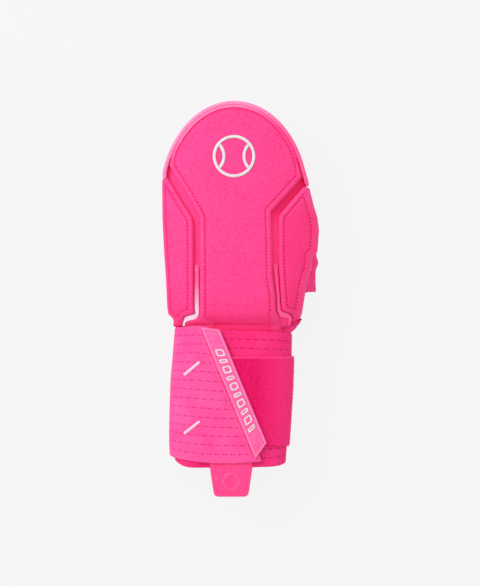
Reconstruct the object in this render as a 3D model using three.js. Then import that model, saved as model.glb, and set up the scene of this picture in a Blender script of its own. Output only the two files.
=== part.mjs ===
// A sliding mitt for the left hand, lying palm down. Millimetres.
// While it is built, +Y points to the fingers, +X to the thumb and +Z up,
// y = 0 is the wrist line and x = 0 the middle of the finger end.
import * as THREE from 'three';

// Hand: driving sizes
const handLength = 182; // wrist line to the tip of the finger bumper
const halfWidth = 60; // middle to the side of the finger end
const domeLength = 0.44 * handLength; // how far the rounded finger end reaches down it
const crownHeight = 46; // highest place of the moulded shell above the floor
const crownDrop = 12; // fall of the shell from its middle to its sides
const crownPower = 2.6; // how late that fall starts
const wristNarrowing = 0.83; // the crown's width at the wrist, as a share of its full width
const crownOpens = 0.3; // share of the hand over which it widens
const shellWall = 3; // moulded shell
const shellInset = 1.2; // how far its edge lies inside the panels' rim
const shoulderAcross = 34; // beside the cuff's end, from here outwards,
const shoulderRun = 8; // and over this width
const shoulderLift = 3; // the shell may rise by this much
const padWall = 4.5; // padded panels of the back of the hand
const padTail = 1.2; // the same panels where they run under the cuff
const padEdge = 3; // rounding of a panel's edge
const cutEdge = 0.25; // depth of the cut at that edge, so that it ends in a small step
const seamInset = 4.3; // sewn channel, in from a panel's edge
const seamDepth = 0.8;
const seamHalf = 1.5; // half the width of that channel
const filmWall = 0.9; // glossy strips in the channels
const bumperWall = 3.5; // rubber wall round the finger end
const bumperLip = 5.4; // how far it stands above the shell's edge
const bumperFoot = 1.4; // rounding of its lower edge
const bumperTop = 0.9; // and of its upper one
const gussetWall = 2.2; // fabric side walls
const gussetInset = 1; // how far a side wall's face lies inside the panel above it
const palmWall = 7; // palm pad
const palmTail = 2.4; // the pad's end inside the cuff
const floorRise = 1.6; // lowest edge of bumper and side walls above the floor
const gap = 0.3; // clearance between pieces that touch
const padSeat = 0.55; // clearance of the curved panels on the shell
const tailGap = 0.6; // clearance of the tails inside the cuff
const tailTop = 2.6; // the cuff's highest edge above the wrist line
const tailReach = 0.9; // half width of those tails, as a share of the cuff's
const wallJoint = 1.6; // seam gap between bumper and side walls, along the hand
const tailRamp = 6; // on both sides of the wrist line, where walls thin into tails
const palmRamp = 11; // length of the palm pad's rise into the cuff
const palmRound = 1.2; // rounding of its upper edge

// Cuff: driving sizes
const cuffLength = 112; // wrist line to the rim
const cuffHalfWidth = 50;
const cuffHeight = 47.4; // the flattened tube of the cuff, outside
const cuffSquareness = 2.8; // 2 is an oval, more is boxier
const elasticWall = 2; // each turn of the elastic
const loopWall = 1.7; // fuzzy fastening panel
const tabWall = 1.5; // slanted tab on the strap's end
const tabWidth = 13.5; // that tab, across
const tabOverlap = 5.5; // how far the strap's end runs under it
const pullWidth = 34; // pull tab, at its root
const pullTaper = 0.8; // width of its end, as a share of its root
const pullLength = 23; // its length past the rim
const pullWall = 2.8;
const pullRootWall = 1.2; // the thin root between the turns of elastic
const pullRootLength = 7.5; // how far that root runs in from the rim
const pullOffset = -2.3; // middle of the pull tab from the middle of the hand
const pullDroop = 3; // how far its end hangs down

// Badge: driving sizes
const badgeRadius = 17;
const badgeLine = 2.4; // width of its ring and arcs
const badgeWall = 1;
const badgeAlong = 0.754; // its middle, as a share of the hand's length
const badgeArcShare = 1.25; // distance of an arc's centre, as a share of the badge's radius
const badgeArcRadius = 0.78; // an arc's radius, as a share of the badge's

// Mesh steps
const rowStep = 11; // longest step along the hand
const shortestStep = 0.5; // and the shortest between two corners
const bumperSteps = 30;
const fieldColumns = 5; // even columns of the centre panel
const shellColumns = 8; // and of the shell,
const shellRimStep = 7; // inside this distance from its edges
const gridUpTo = 0.72; // share of the hand up to which rows are even, below the dome's rows
const domeAngles = [31, 42, 52, 61, 68.5, 74.5, 79, 83, 87]; // rows of the dome, in degrees

// Edge lines. along is a share of handLength, out a share of halfWidth from the middle
const sideOuter = [
  { along: 0.69, out: 0.958 }, { along: 0.585, out: 0.96 }, { along: 0.484, out: 0.957 },
  { along: 0.325, out: 0.933 }, { along: 0.22, out: 0.91 }, { along: 0.088, out: 0.893 },
  { along: 0.06, out: 0.882 }, { along: 0.035, out: 0.822 }, { along: 0.006, out: 0.803 },
];
const sideThumb = [
  { along: 0.69, out: 0.958 }, { along: 0.62, out: 1.017 }, { along: 0.536, out: 1.068 },
  { along: 0.484, out: 1.117 }, { along: 0.431, out: 1.137 }, { along: 0.325, out: 1.113 },
  { along: 0.22, out: 1.092 }, { along: 0.165, out: 1.083 }, { along: 0.152, out: 0.95 },
  { along: 0.088, out: 0.925 }, { along: 0.035, out: 0.905 }, { along: -0.011, out: 0.82 },
];
const outerPadRim = [
  { along: 0.664, out: 0.905 }, { along: 0.65, out: 0.962 }, { along: 0.585, out: 0.96 },
  { along: 0.484, out: 0.957 }, { along: 0.325, out: 0.933 }, { along: 0.22, out: 0.91 },
  { along: 0.088, out: 0.893 }, { along: 0.062, out: 0.882 }, { along: 0.048, out: 0.84 },
  { along: 0.035, out: 0.773 }, { along: 0.008, out: 0.76 },
];
const outerPadSeam = [
  { along: 0.664, out: 0.888 }, { along: 0.515, out: 0.615 }, { along: 0.484, out: 0.556 },
  { along: 0.455, out: 0.54 }, { along: 0.088, out: 0.54 }, { along: 0.062, out: 0.527 },
  { along: 0.055, out: 0.63 }, { along: 0.048, out: 0.672 }, { along: 0.008, out: 0.7 },
];
const fieldOuter = [
  { along: 0.742, out: 0.927 }, { along: 0.595, out: 0.645 }, { along: 0.52, out: 0.517 },
  { along: 0.484, out: 0.458 }, { along: 0.062, out: 0.453 }, { along: 0.048, out: 0.47 },
  { along: 0.038, out: 0.495 }, { along: 0.029, out: 0.617 }, { along: 0.02, out: 0.64 },
  { along: -0.055, out: 0.65 },
];
const fieldThumb = [
  { along: 0.742, out: 1.13 }, { along: 0.655, out: 0.887 }, { along: 0.51, out: 0.49 },
  { along: 0.396, out: 0.502 }, { along: 0.229, out: 0.51 }, { along: 0.141, out: 0.552 },
  { along: 0.074, out: 0.557 }, { along: 0.045, out: 0.598 }, { along: -0.024, out: 0.66 },
  { along: -0.055, out: 0.64 },
];
const thumbPadSeam = [
  { along: 0.623, out: 0.93 }, { along: 0.5, out: 0.612 }, { along: 0.484, out: 0.592 },
  { along: 0.281, out: 0.595 }, { along: 0.114, out: 0.628 }, { along: 0.074, out: 0.642 },
  { along: 0.069, out: 0.69 }, { along: 0.062, out: 0.765 }, { along: 0.045, out: 0.793 },
  { along: 0.0, out: 0.775 },
];
const thumbPadRim = [
  { along: 0.623, out: 0.947 }, { along: 0.614, out: 1.007 }, { along: 0.536, out: 1.068 },
  { along: 0.484, out: 1.117 }, { along: 0.431, out: 1.137 }, { along: 0.334, out: 1.115 },
  { along: 0.316, out: 1.053 }, { along: 0.255, out: 1.032 }, { along: 0.224, out: 0.997 },
  { along: 0.185, out: 0.967 }, { along: 0.151, out: 0.95 }, { along: 0.062, out: 0.908 },
  { along: 0.045, out: 0.885 }, { along: 0.0, out: 0.8 },
];
const thumbFilmInner = [
  { along: 0.281, out: 0.518 }, { along: 0.141, out: 0.564 }, { along: 0.074, out: 0.569 },
  { along: 0.048, out: 0.615 }, { along: 0.04, out: 0.725 }, { along: 0.0, out: 0.72 },
];

// Height of the shell's middle line, as a share of crownHeight
const ridge = [
  { along: -0.07, rise: 0.86 }, { along: 0.0, rise: 0.905 }, { along: 0.13, rise: 0.975 },
  { along: 0.4, rise: 1.0 }, { along: 0.68, rise: 0.935 }, { along: 0.9, rise: 0.82 },
  { along: 1.0, rise: 0.72 },
];

// Cuff sections. down is a share of cuffLength, lean and girth shares of cuffHalfWidth
const cuffSections = [
  { down: 0.0, lean: 0.012, girth: 0.968, height: 1.0 },
  { down: 0.12, lean: 0.002, girth: 0.978, height: 1.0 },
  { down: 0.37, lean: -0.028, girth: 1.0, height: 0.99 },
  { down: 0.72, lean: -0.064, girth: 0.988, height: 0.98 },
  { down: 1.0, lean: -0.08, girth: 0.955, height: 0.96 },
];
// Edges of the two turns. turn is a share of a round: 0 thumb side, 0.25 back, 0.5 outer side.
// upper and lower are shares of cuffLength, down from the wrist line
const bandEdges = [
  { turn: -0.4, upper: 0.05, lower: 0.93 }, { turn: -0.25, upper: 0.045, lower: 0.94 },
  { turn: 0.0, upper: 0.039, lower: 0.964 }, { turn: 0.12, upper: 0.027, lower: 0.99 },
  { turn: 0.25, upper: 0.014, lower: 0.998 }, { turn: 0.36, upper: 0.01, lower: 0.998 },
  { turn: 0.42, upper: 0.012, lower: 0.965 }, { turn: 0.5, upper: 0.03, lower: 0.9 },
];
const strapEdges = [
  { turn: 0.15, upper: 0.012, lower: 0.945 }, { turn: 0.25, upper: 0.0, lower: 0.972 },
  { turn: 0.33, upper: -0.018, lower: 0.955 }, { turn: 0.5, upper: 0.003, lower: 0.909 },
  { turn: 0.75, upper: 0.018, lower: 0.902 }, { turn: 0.85, upper: 0.02, lower: 0.9 },
];
const bandTurns = { start: -0.36, end: 0.44 };
const strapPalmEnd = 0.8;
// The slanted end of the strap: across is a share of cuffHalfWidth, down a share of cuffLength
const slantTop = { across: -0.544, down: -0.018 };
const slantEnd = { across: 0.34, down: 0.941 };
const loopSpan = { upper: 0.205, lower: 0.845, thumbTurn: -0.07 };

// Reading tables
const mix = (a, b, t) => a + (b - a) * t;
const clamp01 = (t) => Math.min(1, Math.max(0, t));
const ease = (t) => clamp01(t) ** 2 * (3 - 2 * clamp01(t));

function readTable(table, key, column, at) {
  const rows = [...table].sort((a, b) => a[key] - b[key]);
  let i = 1;
  while (i < rows.length - 1 && at > rows[i][key]) i += 1;
  const t = clamp01((at - rows[i - 1][key]) / (rows[i][key] - rows[i - 1][key]));
  return mix(rows[i - 1][column], rows[i][column], t);
}

// The same with a smooth curve through the rows
function readSmooth(table, key, column, at) {
  const rows = [...table].sort((a, b) => a[key] - b[key]);
  const slope = (i) => {
    const a = rows[Math.max(0, i - 1)];
    const b = rows[Math.min(rows.length - 1, i + 1)];
    return (b[column] - a[column]) / (b[key] - a[key]);
  };
  let i = 1;
  while (i < rows.length - 1 && at > rows[i][key]) i += 1;
  const step = rows[i][key] - rows[i - 1][key];
  const t = clamp01((at - rows[i - 1][key]) / step);
  const bend = t * (1 - t) * step;
  const straight = mix(rows[i - 1][column], rows[i][column], ease(t));
  return straight + bend * ((1 - t) * slope(i - 1) - t * slope(i));
}

const edgeLine = (table) => (y) => halfWidth * readTable(table, 'along', 'out', y / handLength);

// Outline of the hand: half an ellipse round the fingers, edge lines below it
const domeMiddle = handLength - domeLength;
function domeHalf(y, inset) {
  const reach = (y - domeMiddle) / (domeLength - inset);
  return (halfWidth - inset) * Math.sqrt(Math.max(0, 1 - reach * reach));
}
const domeFoot = sideOuter[0].along * handLength;
function sideLine(y, thumbSide) {
  if (y >= domeFoot) return domeHalf(y, 0);
  return edgeLine(thumbSide ? sideThumb : sideOuter)(y);
}

// Cuff surface: a boxy oval round a leaning axis, offset along its normal
function cuffSection(y) {
  const down = -y / cuffLength;
  const halfHeight = (cuffHeight / 2) * readTable(cuffSections, 'down', 'height', down);
  return {
    x: cuffHalfWidth * readTable(cuffSections, 'down', 'lean', down),
    z: gap + halfHeight,
    across: cuffHalfWidth * readTable(cuffSections, 'down', 'girth', down),
    up: halfHeight,
  };
}
const signedPower = (value, power) => Math.sign(value) * Math.abs(value) ** power;
function cuffPoint(turn, y, offset) {
  const s = cuffSection(y);
  const angle = turn * 2 * Math.PI;
  const dx = signedPower(Math.cos(angle), 2 / cuffSquareness);
  const dz = signedPower(Math.sin(angle), 2 / cuffSquareness);
  const nx = signedPower(dx, cuffSquareness - 1) / s.across;
  const nz = signedPower(dz, cuffSquareness - 1) / s.up;
  const unit = offset / Math.hypot(nx, nz);
  return [s.x + s.across * dx + nx * unit, y, s.z + s.up * dz + nz * unit];
}
function turnAt(x, y) {
  const s = cuffSection(y);
  const share = Math.min(1, Math.max(-1, (x - s.x) / s.across));
  return Math.acos(signedPower(share, cuffSquareness / 2)) / (2 * Math.PI);
}
// Roof and floor of the space inside both turns of elastic at x
const bandOuter = -(elasticWall + gap);
const bandInner = bandOuter - elasticWall;
function insideCuff(x, y) {
  const s = cuffSection(Math.min(0, y));
  const share = Math.min(tailReach, Math.abs(x - s.x) / (s.across + bandInner - tailGap));
  const clear = (s.up + bandInner - tailGap) * (1 - share ** cuffSquareness) ** (1 / cuffSquareness);
  return { roof: s.z + clear, floor: s.z - clear };
}

// Top of the moulded shell. Its tail stays low enough for what runs over it under the cuff
const tailStack = padTail + padSeat + gap;
function shellTop(x, y) {
  const rise = crownHeight * readSmooth(ridge, 'along', 'rise', y / handLength);
  const widening = ease(y / (crownOpens * handLength));
  const span = halfWidth * mix(wristNarrowing, 1, widening);
  const crown = rise - crownDrop * (Math.abs(x) / span) ** crownPower;
  const shoulder = shoulderLift * ease((Math.abs(x) - shoulderAcross) / shoulderRun) * clamp01(y);
  const freeAbove = Math.max(0, y - tailTop) + shoulder;
  return Math.min(crown, insideCuff(x, y).roof - tailStack + freeAbove);
}
function shellBottom(x, y) {
  const wall = mix(padTail, shellWall, ease((y + tailRamp) / (2 * tailRamp)));
  return shellTop(x, y) - wall;
}

// Shares from 0 to 1 in even steps
const evenStops = (count) => Array.from({ length: count + 1 }, (_, i) => i / count);

// Mesh of a closed slab between two grids of points, [row][column], one over the other
function slab(over, under) {
  const rows = over.length;
  const columns = over[0].length;
  const at = (i, j) => i * columns + j;
  const base = rows * columns;
  const faces = [];
  const quad = (a, b, c, d) => faces.push(a, b, c, a, c, d);
  for (let i = 0; i < rows - 1; i += 1) {
    for (let j = 0; j < columns - 1; j += 1) {
      quad(at(i, j), at(i, j + 1), at(i + 1, j + 1), at(i + 1, j));
      quad(base + at(i, j), base + at(i + 1, j), base + at(i + 1, j + 1), base + at(i, j + 1));
    }
  }
  const rim = (a, b) => quad(a, b, base + b, base + a);
  for (let j = 0; j < columns - 1; j += 1) {
    rim(at(0, j + 1), at(0, j));
    rim(at(rows - 1, j), at(rows - 1, j + 1));
  }
  for (let i = 0; i < rows - 1; i += 1) {
    rim(at(i, 0), at(i + 1, 0));
    rim(at(i + 1, columns - 1), at(i, columns - 1));
  }
  return solid([...over, ...under].flat(2), faces);
}

// A closed mesh with its faces turned outwards
function solid(coordinates, faces) {
  let volume = 0;
  const corner = (i) => new THREE.Vector3().fromArray(coordinates, i * 3);
  for (let f = 0; f < faces.length; f += 3) {
    volume += corner(faces[f]).dot(corner(faces[f + 1]).cross(corner(faces[f + 2])));
  }
  const outward = volume > 0 ? faces : faces.map((_, k) => faces[k - (k % 3) + [0, 2, 1][k % 3]]);
  const geometry = new THREE.BufferGeometry();
  geometry.setAttribute('position', new THREE.Float32BufferAttribute(coordinates, 3));
  geometry.setIndex(outward);
  geometry.computeVertexNormals();
  return geometry;
}

// Rows of a panel: every corner of its two edge lines between low and high, and steps between
function panelRows(tables, low, high) {
  const corners = tables.flat().map((row) => row.along * handLength);
  const stops = [low, ...corners.filter((y) => y > low && y < high), high].sort((a, b) => a - b);
  const isEnd = (i) => i === 0 || i === stops.length - 1;
  const kept = stops.filter((y, i) => isEnd(i) || y - stops[i - 1] > shortestStep);
  const rows = [];
  for (let i = 1; i < kept.length; i += 1) {
    const steps = Math.ceil((kept[i] - kept[i - 1]) / rowStep);
    for (let k = 0; k < steps; k += 1) rows.push(mix(kept[i - 1], kept[i], k / steps));
  }
  return [...rows, high];
}

// Columns of a panel: close together at both edges, even between
function panelColumns(left, right, insets, inner) {
  const half = (right - left) / 2;
  const shrink = Math.min(1, (half * 0.9) / Math.max(...insets));
  const near = insets.map((inset) => left + inset * shrink);
  const far = insets.map((inset) => right - inset * shrink).reverse();
  const middle = [];
  for (let k = 1; k <= inner; k += 1) {
    middle.push(mix(near[near.length - 1], far[0], k / (inner + 1)));
  }
  return [...near, ...middle, ...far];
}

// Distance from a point to a closed outline
function edgeDistance(x, y, outline) {
  let best = Infinity;
  outline.forEach((a, i) => {
    const b = outline[(i + 1) % outline.length];
    const run = [b[0] - a[0], b[1] - a[1]];
    const length = run[0] ** 2 + run[1] ** 2;
    const t = length ? clamp01(((x - a[0]) * run[0] + (y - a[1]) * run[1]) / length) : 0;
    best = Math.min(best, Math.hypot(x - a[0] - run[0] * t, y - a[1] - run[1] * t));
  });
  return best;
}

// A padded panel on the shell: rounded edge, sewn channel inside it, thin tail under the cuff
function paddedHeight(distance, y) {
  const full = mix(padTail, padWall, ease((y - tailTop) / (2 * padEdge + seamInset)));
  const lift = Math.sqrt(1 - (1 - clamp01((distance + cutEdge) / padEdge)) ** 2);
  const seam = seamDepth * Math.max(0, 1 - Math.abs(distance - seamInset) / seamHalf);
  return full * lift - Math.min(seam, full / 3);
}
function paddedPanel(rows, left, right, inner) {
  const insets = [0, 0.33 * padEdge, 0.93 * padEdge, seamInset, seamInset + seamHalf];
  const back = [...rows].reverse();
  const outline = [...rows.map((y) => [left(y), y]), ...back.map((y) => [right(y), y])];
  const plan = rows.map((y) => panelColumns(left(y), right(y), insets, inner).map((x) => [x, y]));
  const seat = ([x, y]) => [x, y, shellTop(x, y) + padSeat];
  const crown = ([x, y]) => {
    const height = paddedHeight(edgeDistance(x, y, outline), y);
    return [x, y, shellTop(x, y) + padSeat + height];
  };
  return slab(plan.map((row) => row.map(crown)), plan.map((row) => row.map(seat)));
}

// Pieces on the back of the hand
const domeInset = bumperWall + gap;
const tailEnd = -0.055 * handLength;
const within = (line, y) => Math.min(line(y), domeHalf(Math.max(y, domeMiddle), domeInset));

const domeY = (degrees, inset) => (
  domeMiddle + (domeLength - inset) * Math.sin(THREE.MathUtils.degToRad(degrees))
);
// Rows of a piece that ends in the dome, from its even rows on
function withDomeRows(rows, inset) {
  const from = rows[rows.length - 1] + padEdge;
  return [...rows, ...domeAngles.map((a) => domeY(a, inset)).filter((y) => y > from)];
}

function centrePanel() {
  const low = panelRows([fieldOuter, fieldThumb], tailEnd, gridUpTo * handLength);
  const rows = withDomeRows(low, domeInset);
  const left = (y) => -within(edgeLine(fieldOuter), y);
  const right = (y) => within(edgeLine(fieldThumb), y);
  return paddedPanel(rows, left, right, fieldColumns);
}

function sidePanel(seam, rim, side) {
  const along = seam.map((row) => row.along * handLength);
  const rows = panelRows([seam, rim], Math.min(...along), Math.max(...along) - gap);
  const a = (y) => side * edgeLine(seam)(y);
  const b = (y) => side * edgeLine(rim)(y);
  return side < 0 ? paddedPanel(rows, b, a, 1) : paddedPanel(rows, a, b, 1);
}

// A glossy strip on the shell between two edge lines
const filmTop = 0.281 * handLength;
function filmStrip(left, right, rows) {
  const plan = rows.map((y) => evenStops(4).map((t) => [mix(left(y), right(y), t), y]));
  const level = (lift) => plan.map((row) => row.map(([x, y]) => [x, y, shellTop(x, y) + lift]));
  return slab(level(padSeat + filmWall), level(padSeat));
}
function outerFilm() {
  const rows = panelRows([outerPadSeam, fieldOuter], 0.008 * handLength, filmTop);
  const left = (y) => -edgeLine(outerPadSeam)(y) + 2 * gap;
  const right = (y) => -edgeLine(fieldOuter)(y) - 2 * gap;
  return filmStrip(left, right, rows);
}
function thumbFilm() {
  const rows = panelRows([thumbFilmInner, thumbPadSeam], 0, filmTop);
  return filmStrip(edgeLine(thumbFilmInner), (y) => edgeLine(thumbPadSeam)(y) - 2 * gap, rows);
}

// The moulded shell under the panels, with a narrow tail under the cuff
const handFoot = 0.006 * handLength; // where the full width begins
const domeOnly = 0.6 * handLength; // and where the dome limits it
function shellEdge(y, thumbSide) {
  const tail = edgeLine(thumbSide ? fieldThumb : fieldOuter)(y) + 1;
  if (y < handFoot) return tail;
  const rim = edgeLine(thumbSide ? thumbPadRim : sideOuter)(y) - shellInset;
  const dome = domeHalf(Math.max(y, domeMiddle), domeInset + gap);
  return y > domeOnly ? Math.min(rim, dome) : rim;
}
// Plan points of a piece between its outer and its thumb side edge
function planOf(rows, edge, insets, inner) {
  const across = (y) => panelColumns(-edge(y, false), edge(y, true), insets, inner);
  return rows.map((y) => across(y).map((x) => [x, y]));
}
const tailStep = 0.8; // length of the step from the tail to the full width
function mouldedShell() {
  const low = panelRows([sideOuter, fieldOuter], handFoot, gridUpTo * handLength);
  const rows = [tailEnd, handFoot - tailStep, ...withDomeRows(low, domeInset + gap)];
  const plan = planOf(rows, shellEdge, [0, shellRimStep], shellColumns);
  const level = (height) => plan.map((row) => row.map(([x, y]) => [x, y, height(x, y)]));
  return slab(level(shellTop), level(shellBottom));
}

// Rubber bumper: an upright wall carried along the outline of the finger end
const bumperEnds = { outer: 167.5, thumb: 9 };
const bumperSlant = 2.5; // its outer end is cut along the panel's edge
const slantSteps = 3;
function bumper() {
  const path = [];
  for (let k = 0; k <= bumperSteps; k += 1) {
    const angle = mix(bumperEnds.outer, bumperEnds.thumb, k / bumperSteps);
    const y = domeY(angle, 0);
    const side = angle < 90 ? 1 : -1;
    path.push([side * sideLine(y, side > 0), y]);
  }
  const section = (i) => {
    const before = path[Math.max(0, i - 1)];
    const after = path[Math.min(path.length - 1, i + 1)];
    const run = Math.hypot(after[0] - before[0], after[1] - before[1]);
    const inward = [(after[1] - before[1]) / run, -(after[0] - before[0]) / run];
    const [x, y] = path[i];
    const top = shellTop(x + inward[0] * domeInset, y + inward[1] * domeInset) + bumperLip;
    const slant = (bumperSlant / bumperWall) * Math.max(0, 1 - i / slantSteps);
    const place = ([inset, z]) => [x + (inward[0] - inward[1] * slant) * inset,
      y + (inward[1] + inward[0] * slant) * inset, z];
    const low = floorRise + 1.5 * bumperFoot;
    const half = (floorRise + top) / 2;
    const outside = [[bumperFoot, floorRise], [0, low], [0, half], [0, top - 2 * bumperTop],
      [bumperTop, top - 0.4 * bumperTop]];
    const inside = [[bumperWall, floorRise], [bumperWall, low], [bumperWall, half],
      [bumperWall, top - 1.3 * bumperTop], [bumperWall - 0.8 * bumperTop, top]];
    return { outside: outside.map(place), inside: inside.map(place) };
  };
  const sections = path.map((_, i) => section(i));
  return slab(sections.map((s) => s.outside), sections.map((s) => s.inside));
}

// A fabric side wall from beside the palm pad to just under the shell
const wallTurns = [0, 0.12, 0.35, 0.6, 0.85, 1];
function sideWall(rows, foot, head, bulge, side) {
  const wall = (inset) => rows.map((y) => wallTurns.map((t) => {
    const out = mix(foot(y), head(y), t) + bulge(y) * 4 * t * (1 - t) - inset;
    const roof = shellBottom(side * (head(y) - inset), y) - gap;
    return [side * out, y, mix(floorRise, roof, t)];
  }));
  return slab(wall(0), wall(gussetWall));
}
function outerGusset() {
  const rows = panelRows([sideOuter], handFoot, domeY(bumperEnds.outer, 0) - wallJoint);
  const face = (y) => edgeLine(sideOuter)(y) - gussetInset;
  return sideWall(rows, face, (y) => face(y) - shellInset, () => gussetInset, -1);
}
const thumbHem = 0.158 * handLength;
const leastBulge = 0.8;
function thumbGusset() {
  const top = domeY(bumperEnds.thumb, 0) - wallJoint;
  const rows = panelRows([sideThumb, thumbPadRim], thumbHem, top);
  const side = sideThumb.filter((row) => row.along * handLength > thumbHem);
  const foot = (y) => edgeLine(side)(y) - gussetInset;
  const head = (y) => edgeLine(thumbPadRim)(y) - gussetInset - shellInset;
  const bulge = (y) => Math.max(leastBulge, (foot(y) - head(y)) / 2);
  return sideWall(rows, foot, head, bulge, 1);
}

// Palm pad: flat below, with a thin tail that rises into the cuff
const palmInset = gussetInset + gussetWall + 2 * gap;
const freeInset = 0.8; // the same at the thumb opening, where no side wall stands
const palmTailInset = 4; // how far its tail lies inside the shell's
function palmEdge(y, thumbSide) {
  if (y < handFoot) return edgeLine(thumbSide ? fieldThumb : fieldOuter)(handFoot) - palmTailInset;
  const side = edgeLine(thumbSide ? sideThumb : sideOuter)(y);
  const free = thumbSide && y < thumbHem;
  const dome = y > domeOnly ? domeHalf(y, Math.max(palmInset, domeInset)) : Infinity;
  return Math.min(side - (free ? freeInset : palmInset), dome);
}
function palmPad() {
  const low = panelRows([sideOuter, sideThumb], handFoot, gridUpTo * handLength);
  const rows = [tailEnd, handFoot - tailStep, ...withDomeRows(low, palmInset)];
  const plan = planOf(rows, palmEdge, [0, palmRound], 3);
  const lifted = (y) => 1 - ease((y - handFoot) / palmRamp);
  const seat = (x, y) => lifted(y) * insideCuff(x, y).floor;
  const under = plan.map((row) => row.map(([x, y]) => [x, y, seat(x, y)]));
  const over = plan.map((row) => row.map(([x, y], j) => {
    const rounded = j === 0 || j === row.length - 1 ? palmRound : 0;
    return [x, y, seat(x, y) + mix(palmWall - rounded, palmTail, lifted(y))];
  }));
  return slab(over, under);
}

// A patch of the cuff between two offsets: from one turn to another, stops down from edge to edge
function cuffPatch({ edges, from, to, columns, stops, outside, wall, dip = () => 0 }) {
  const grid = (depth) => {
    const points = [];
    for (const v of stops) {
      const line = [];
      for (let j = 0; j <= columns; j += 1) {
        const turn = mix(from(v), to(v), j / columns);
        const upper = readTable(edges, 'turn', 'upper', turn);
        const lower = readTable(edges, 'turn', 'lower', turn);
        const y = -cuffLength * mix(upper, lower, v);
        const [x] = cuffPoint(turn, y, outside);
        line.push(cuffPoint(turn, y, outside - depth - dip(x, y)));
      }
      points.push(line);
    }
    return points;
  };
  return slab(grid(0), grid(wall));
}

// The inner turn of elastic dips under the root of the pull tab
const rootSpace = pullRootWall + gap;
const pullRootEnd = -cuffLength + pullRootLength;
const dipMargin = 4; // beside the root
const dipRamp = 7; // and over this length it fades
function pullDip(x, y) {
  const across = 1 - ease((Math.abs(x - pullOffset) - pullWidth / 2 - dipMargin) / dipRamp);
  return rootSpace * across * (1 - ease((y - pullRootEnd - 1) / dipRamp));
}
const cuffBand = () => cuffPatch({
  edges: bandEdges,
  from: () => bandTurns.start,
  to: () => bandTurns.end,
  columns: 37,
  stops: [0, 0.14, 0.28, 0.42, 0.56, 0.7, 0.84, 0.92, 0.96, 1],
  outside: bandOuter,
  wall: elasticWall,
  dip: pullDip,
});

// The slanted end of the closing strap, across the back of the cuff
const slantY = (v) => -cuffLength * mix(slantTop.down, slantEnd.down, v);
const slantX = (v) => cuffHalfWidth * mix(slantTop.across, slantEnd.across, v);
const strapEndTurn = (v) => turnAt(slantX(v) + tabOverlap, slantY(v));
const closingStrap = () => cuffPatch({
  edges: strapEdges,
  from: strapEndTurn,
  to: () => strapPalmEnd,
  columns: 27,
  stops: evenStops(7),
  outside: 0,
  wall: elasticWall,
});

// Fuzzy panel beside the strap's end, round the thumb side of the cuff
const loopMargin = 1; // from the strap's end to the panel
function loopPanel() {
  const edges = [{ turn: -1, ...loopSpan }, { turn: 1, ...loopSpan }];
  const share = (v) => {
    const y = mix(loopSpan.upper, loopSpan.lower, v);
    return (y - slantTop.down) / (slantEnd.down - slantTop.down);
  };
  const from = (v) => turnAt(slantX(share(v)) + tabOverlap + loopMargin, slantY(share(v)));
  return cuffPatch({
    edges,
    from,
    to: () => loopSpan.thumbTurn,
    columns: 14,
    stops: evenStops(6),
    outside: bandOuter + gap + loopWall,
    wall: loopWall,
  });
}

// Slanted end tab, lying on the strap's end. Its ends are shares of the slant's length:
// top and foot on its outer edge, and how far they have moved on at its inner edge
const tabEnds = { top: 0.008, topRise: 0.068, foot: 0.995, footRise: 0.075 };
const tabBevel = 0.5;
function strapEndTab() {
  const run = Math.hypot(slantX(1) - slantX(0), slantY(1) - slantY(0));
  const across = [(slantY(0) - slantY(1)) / run, (slantX(1) - slantX(0)) / run];
  const grid = (offset) => {
    const points = [];
    for (const t of evenStops(14)) {
      const line = [0, 0.12, 0.5, 0.88, 1].map((s) => {
        const v = mix(tabEnds.top + tabEnds.topRise * s, tabEnds.foot - tabEnds.footRise * s, t);
        const x = slantX(v) + across[0] * tabWidth * s;
        const y = slantY(v) + across[1] * tabWidth * s;
        const bevel = s === 0 || s === 1 ? tabBevel : 0;
        return cuffPoint(turnAt(x, y), y, offset > gap ? offset - bevel : offset);
      });
      points.push(line);
    }
    return points;
  };
  return slab(grid(gap + tabWall), grid(gap));
}

// Pull tab: thin root between the turns, thicker grip past the rim
const pullCorner = 3; // cut of its two free corners
const pullRim = 0.75; // thickness of its edges, as a share of its wall
const pullSwell = 2.5; // length over which the root thickens, past the rim
function pullTab() {
  const rim = -cuffLength;
  const end = rim - pullLength;
  const stops = [end, end + pullCorner / 2, rim - 0.55 * pullLength, rim - 3, rim - 1, rim + 1.5,
    pullRootEnd - 2, pullRootEnd];
  const grid = (sign) => stops.map((y) => {
    const past = clamp01((rim - y) / pullLength);
    const corner = y === end ? pullCorner : 0;
    const half = (pullWidth / 2) * mix(1, pullTaper, past) - corner;
    const wall = mix(pullRootWall, pullWall, ease((rim - gap - y) / pullSwell));
    return [-1, -0.94, -0.5, 0, 0.5, 0.94, 1].map((s) => {
      const x = pullOffset + half * s;
      const middle = -(elasticWall + gap + pullRootWall / 2);
      const on = Math.max(y, rim);
      const seat = cuffPoint(turnAt(x, on), on, middle);
      const edge = Math.abs(s) === 1 || y === end ? pullRim : 1;
      return [x, y, seat[2] - pullDroop * past ** 2 + (sign * wall * edge) / 2];
    });
  });
  return slab(grid(1), grid(-1));
}

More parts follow.
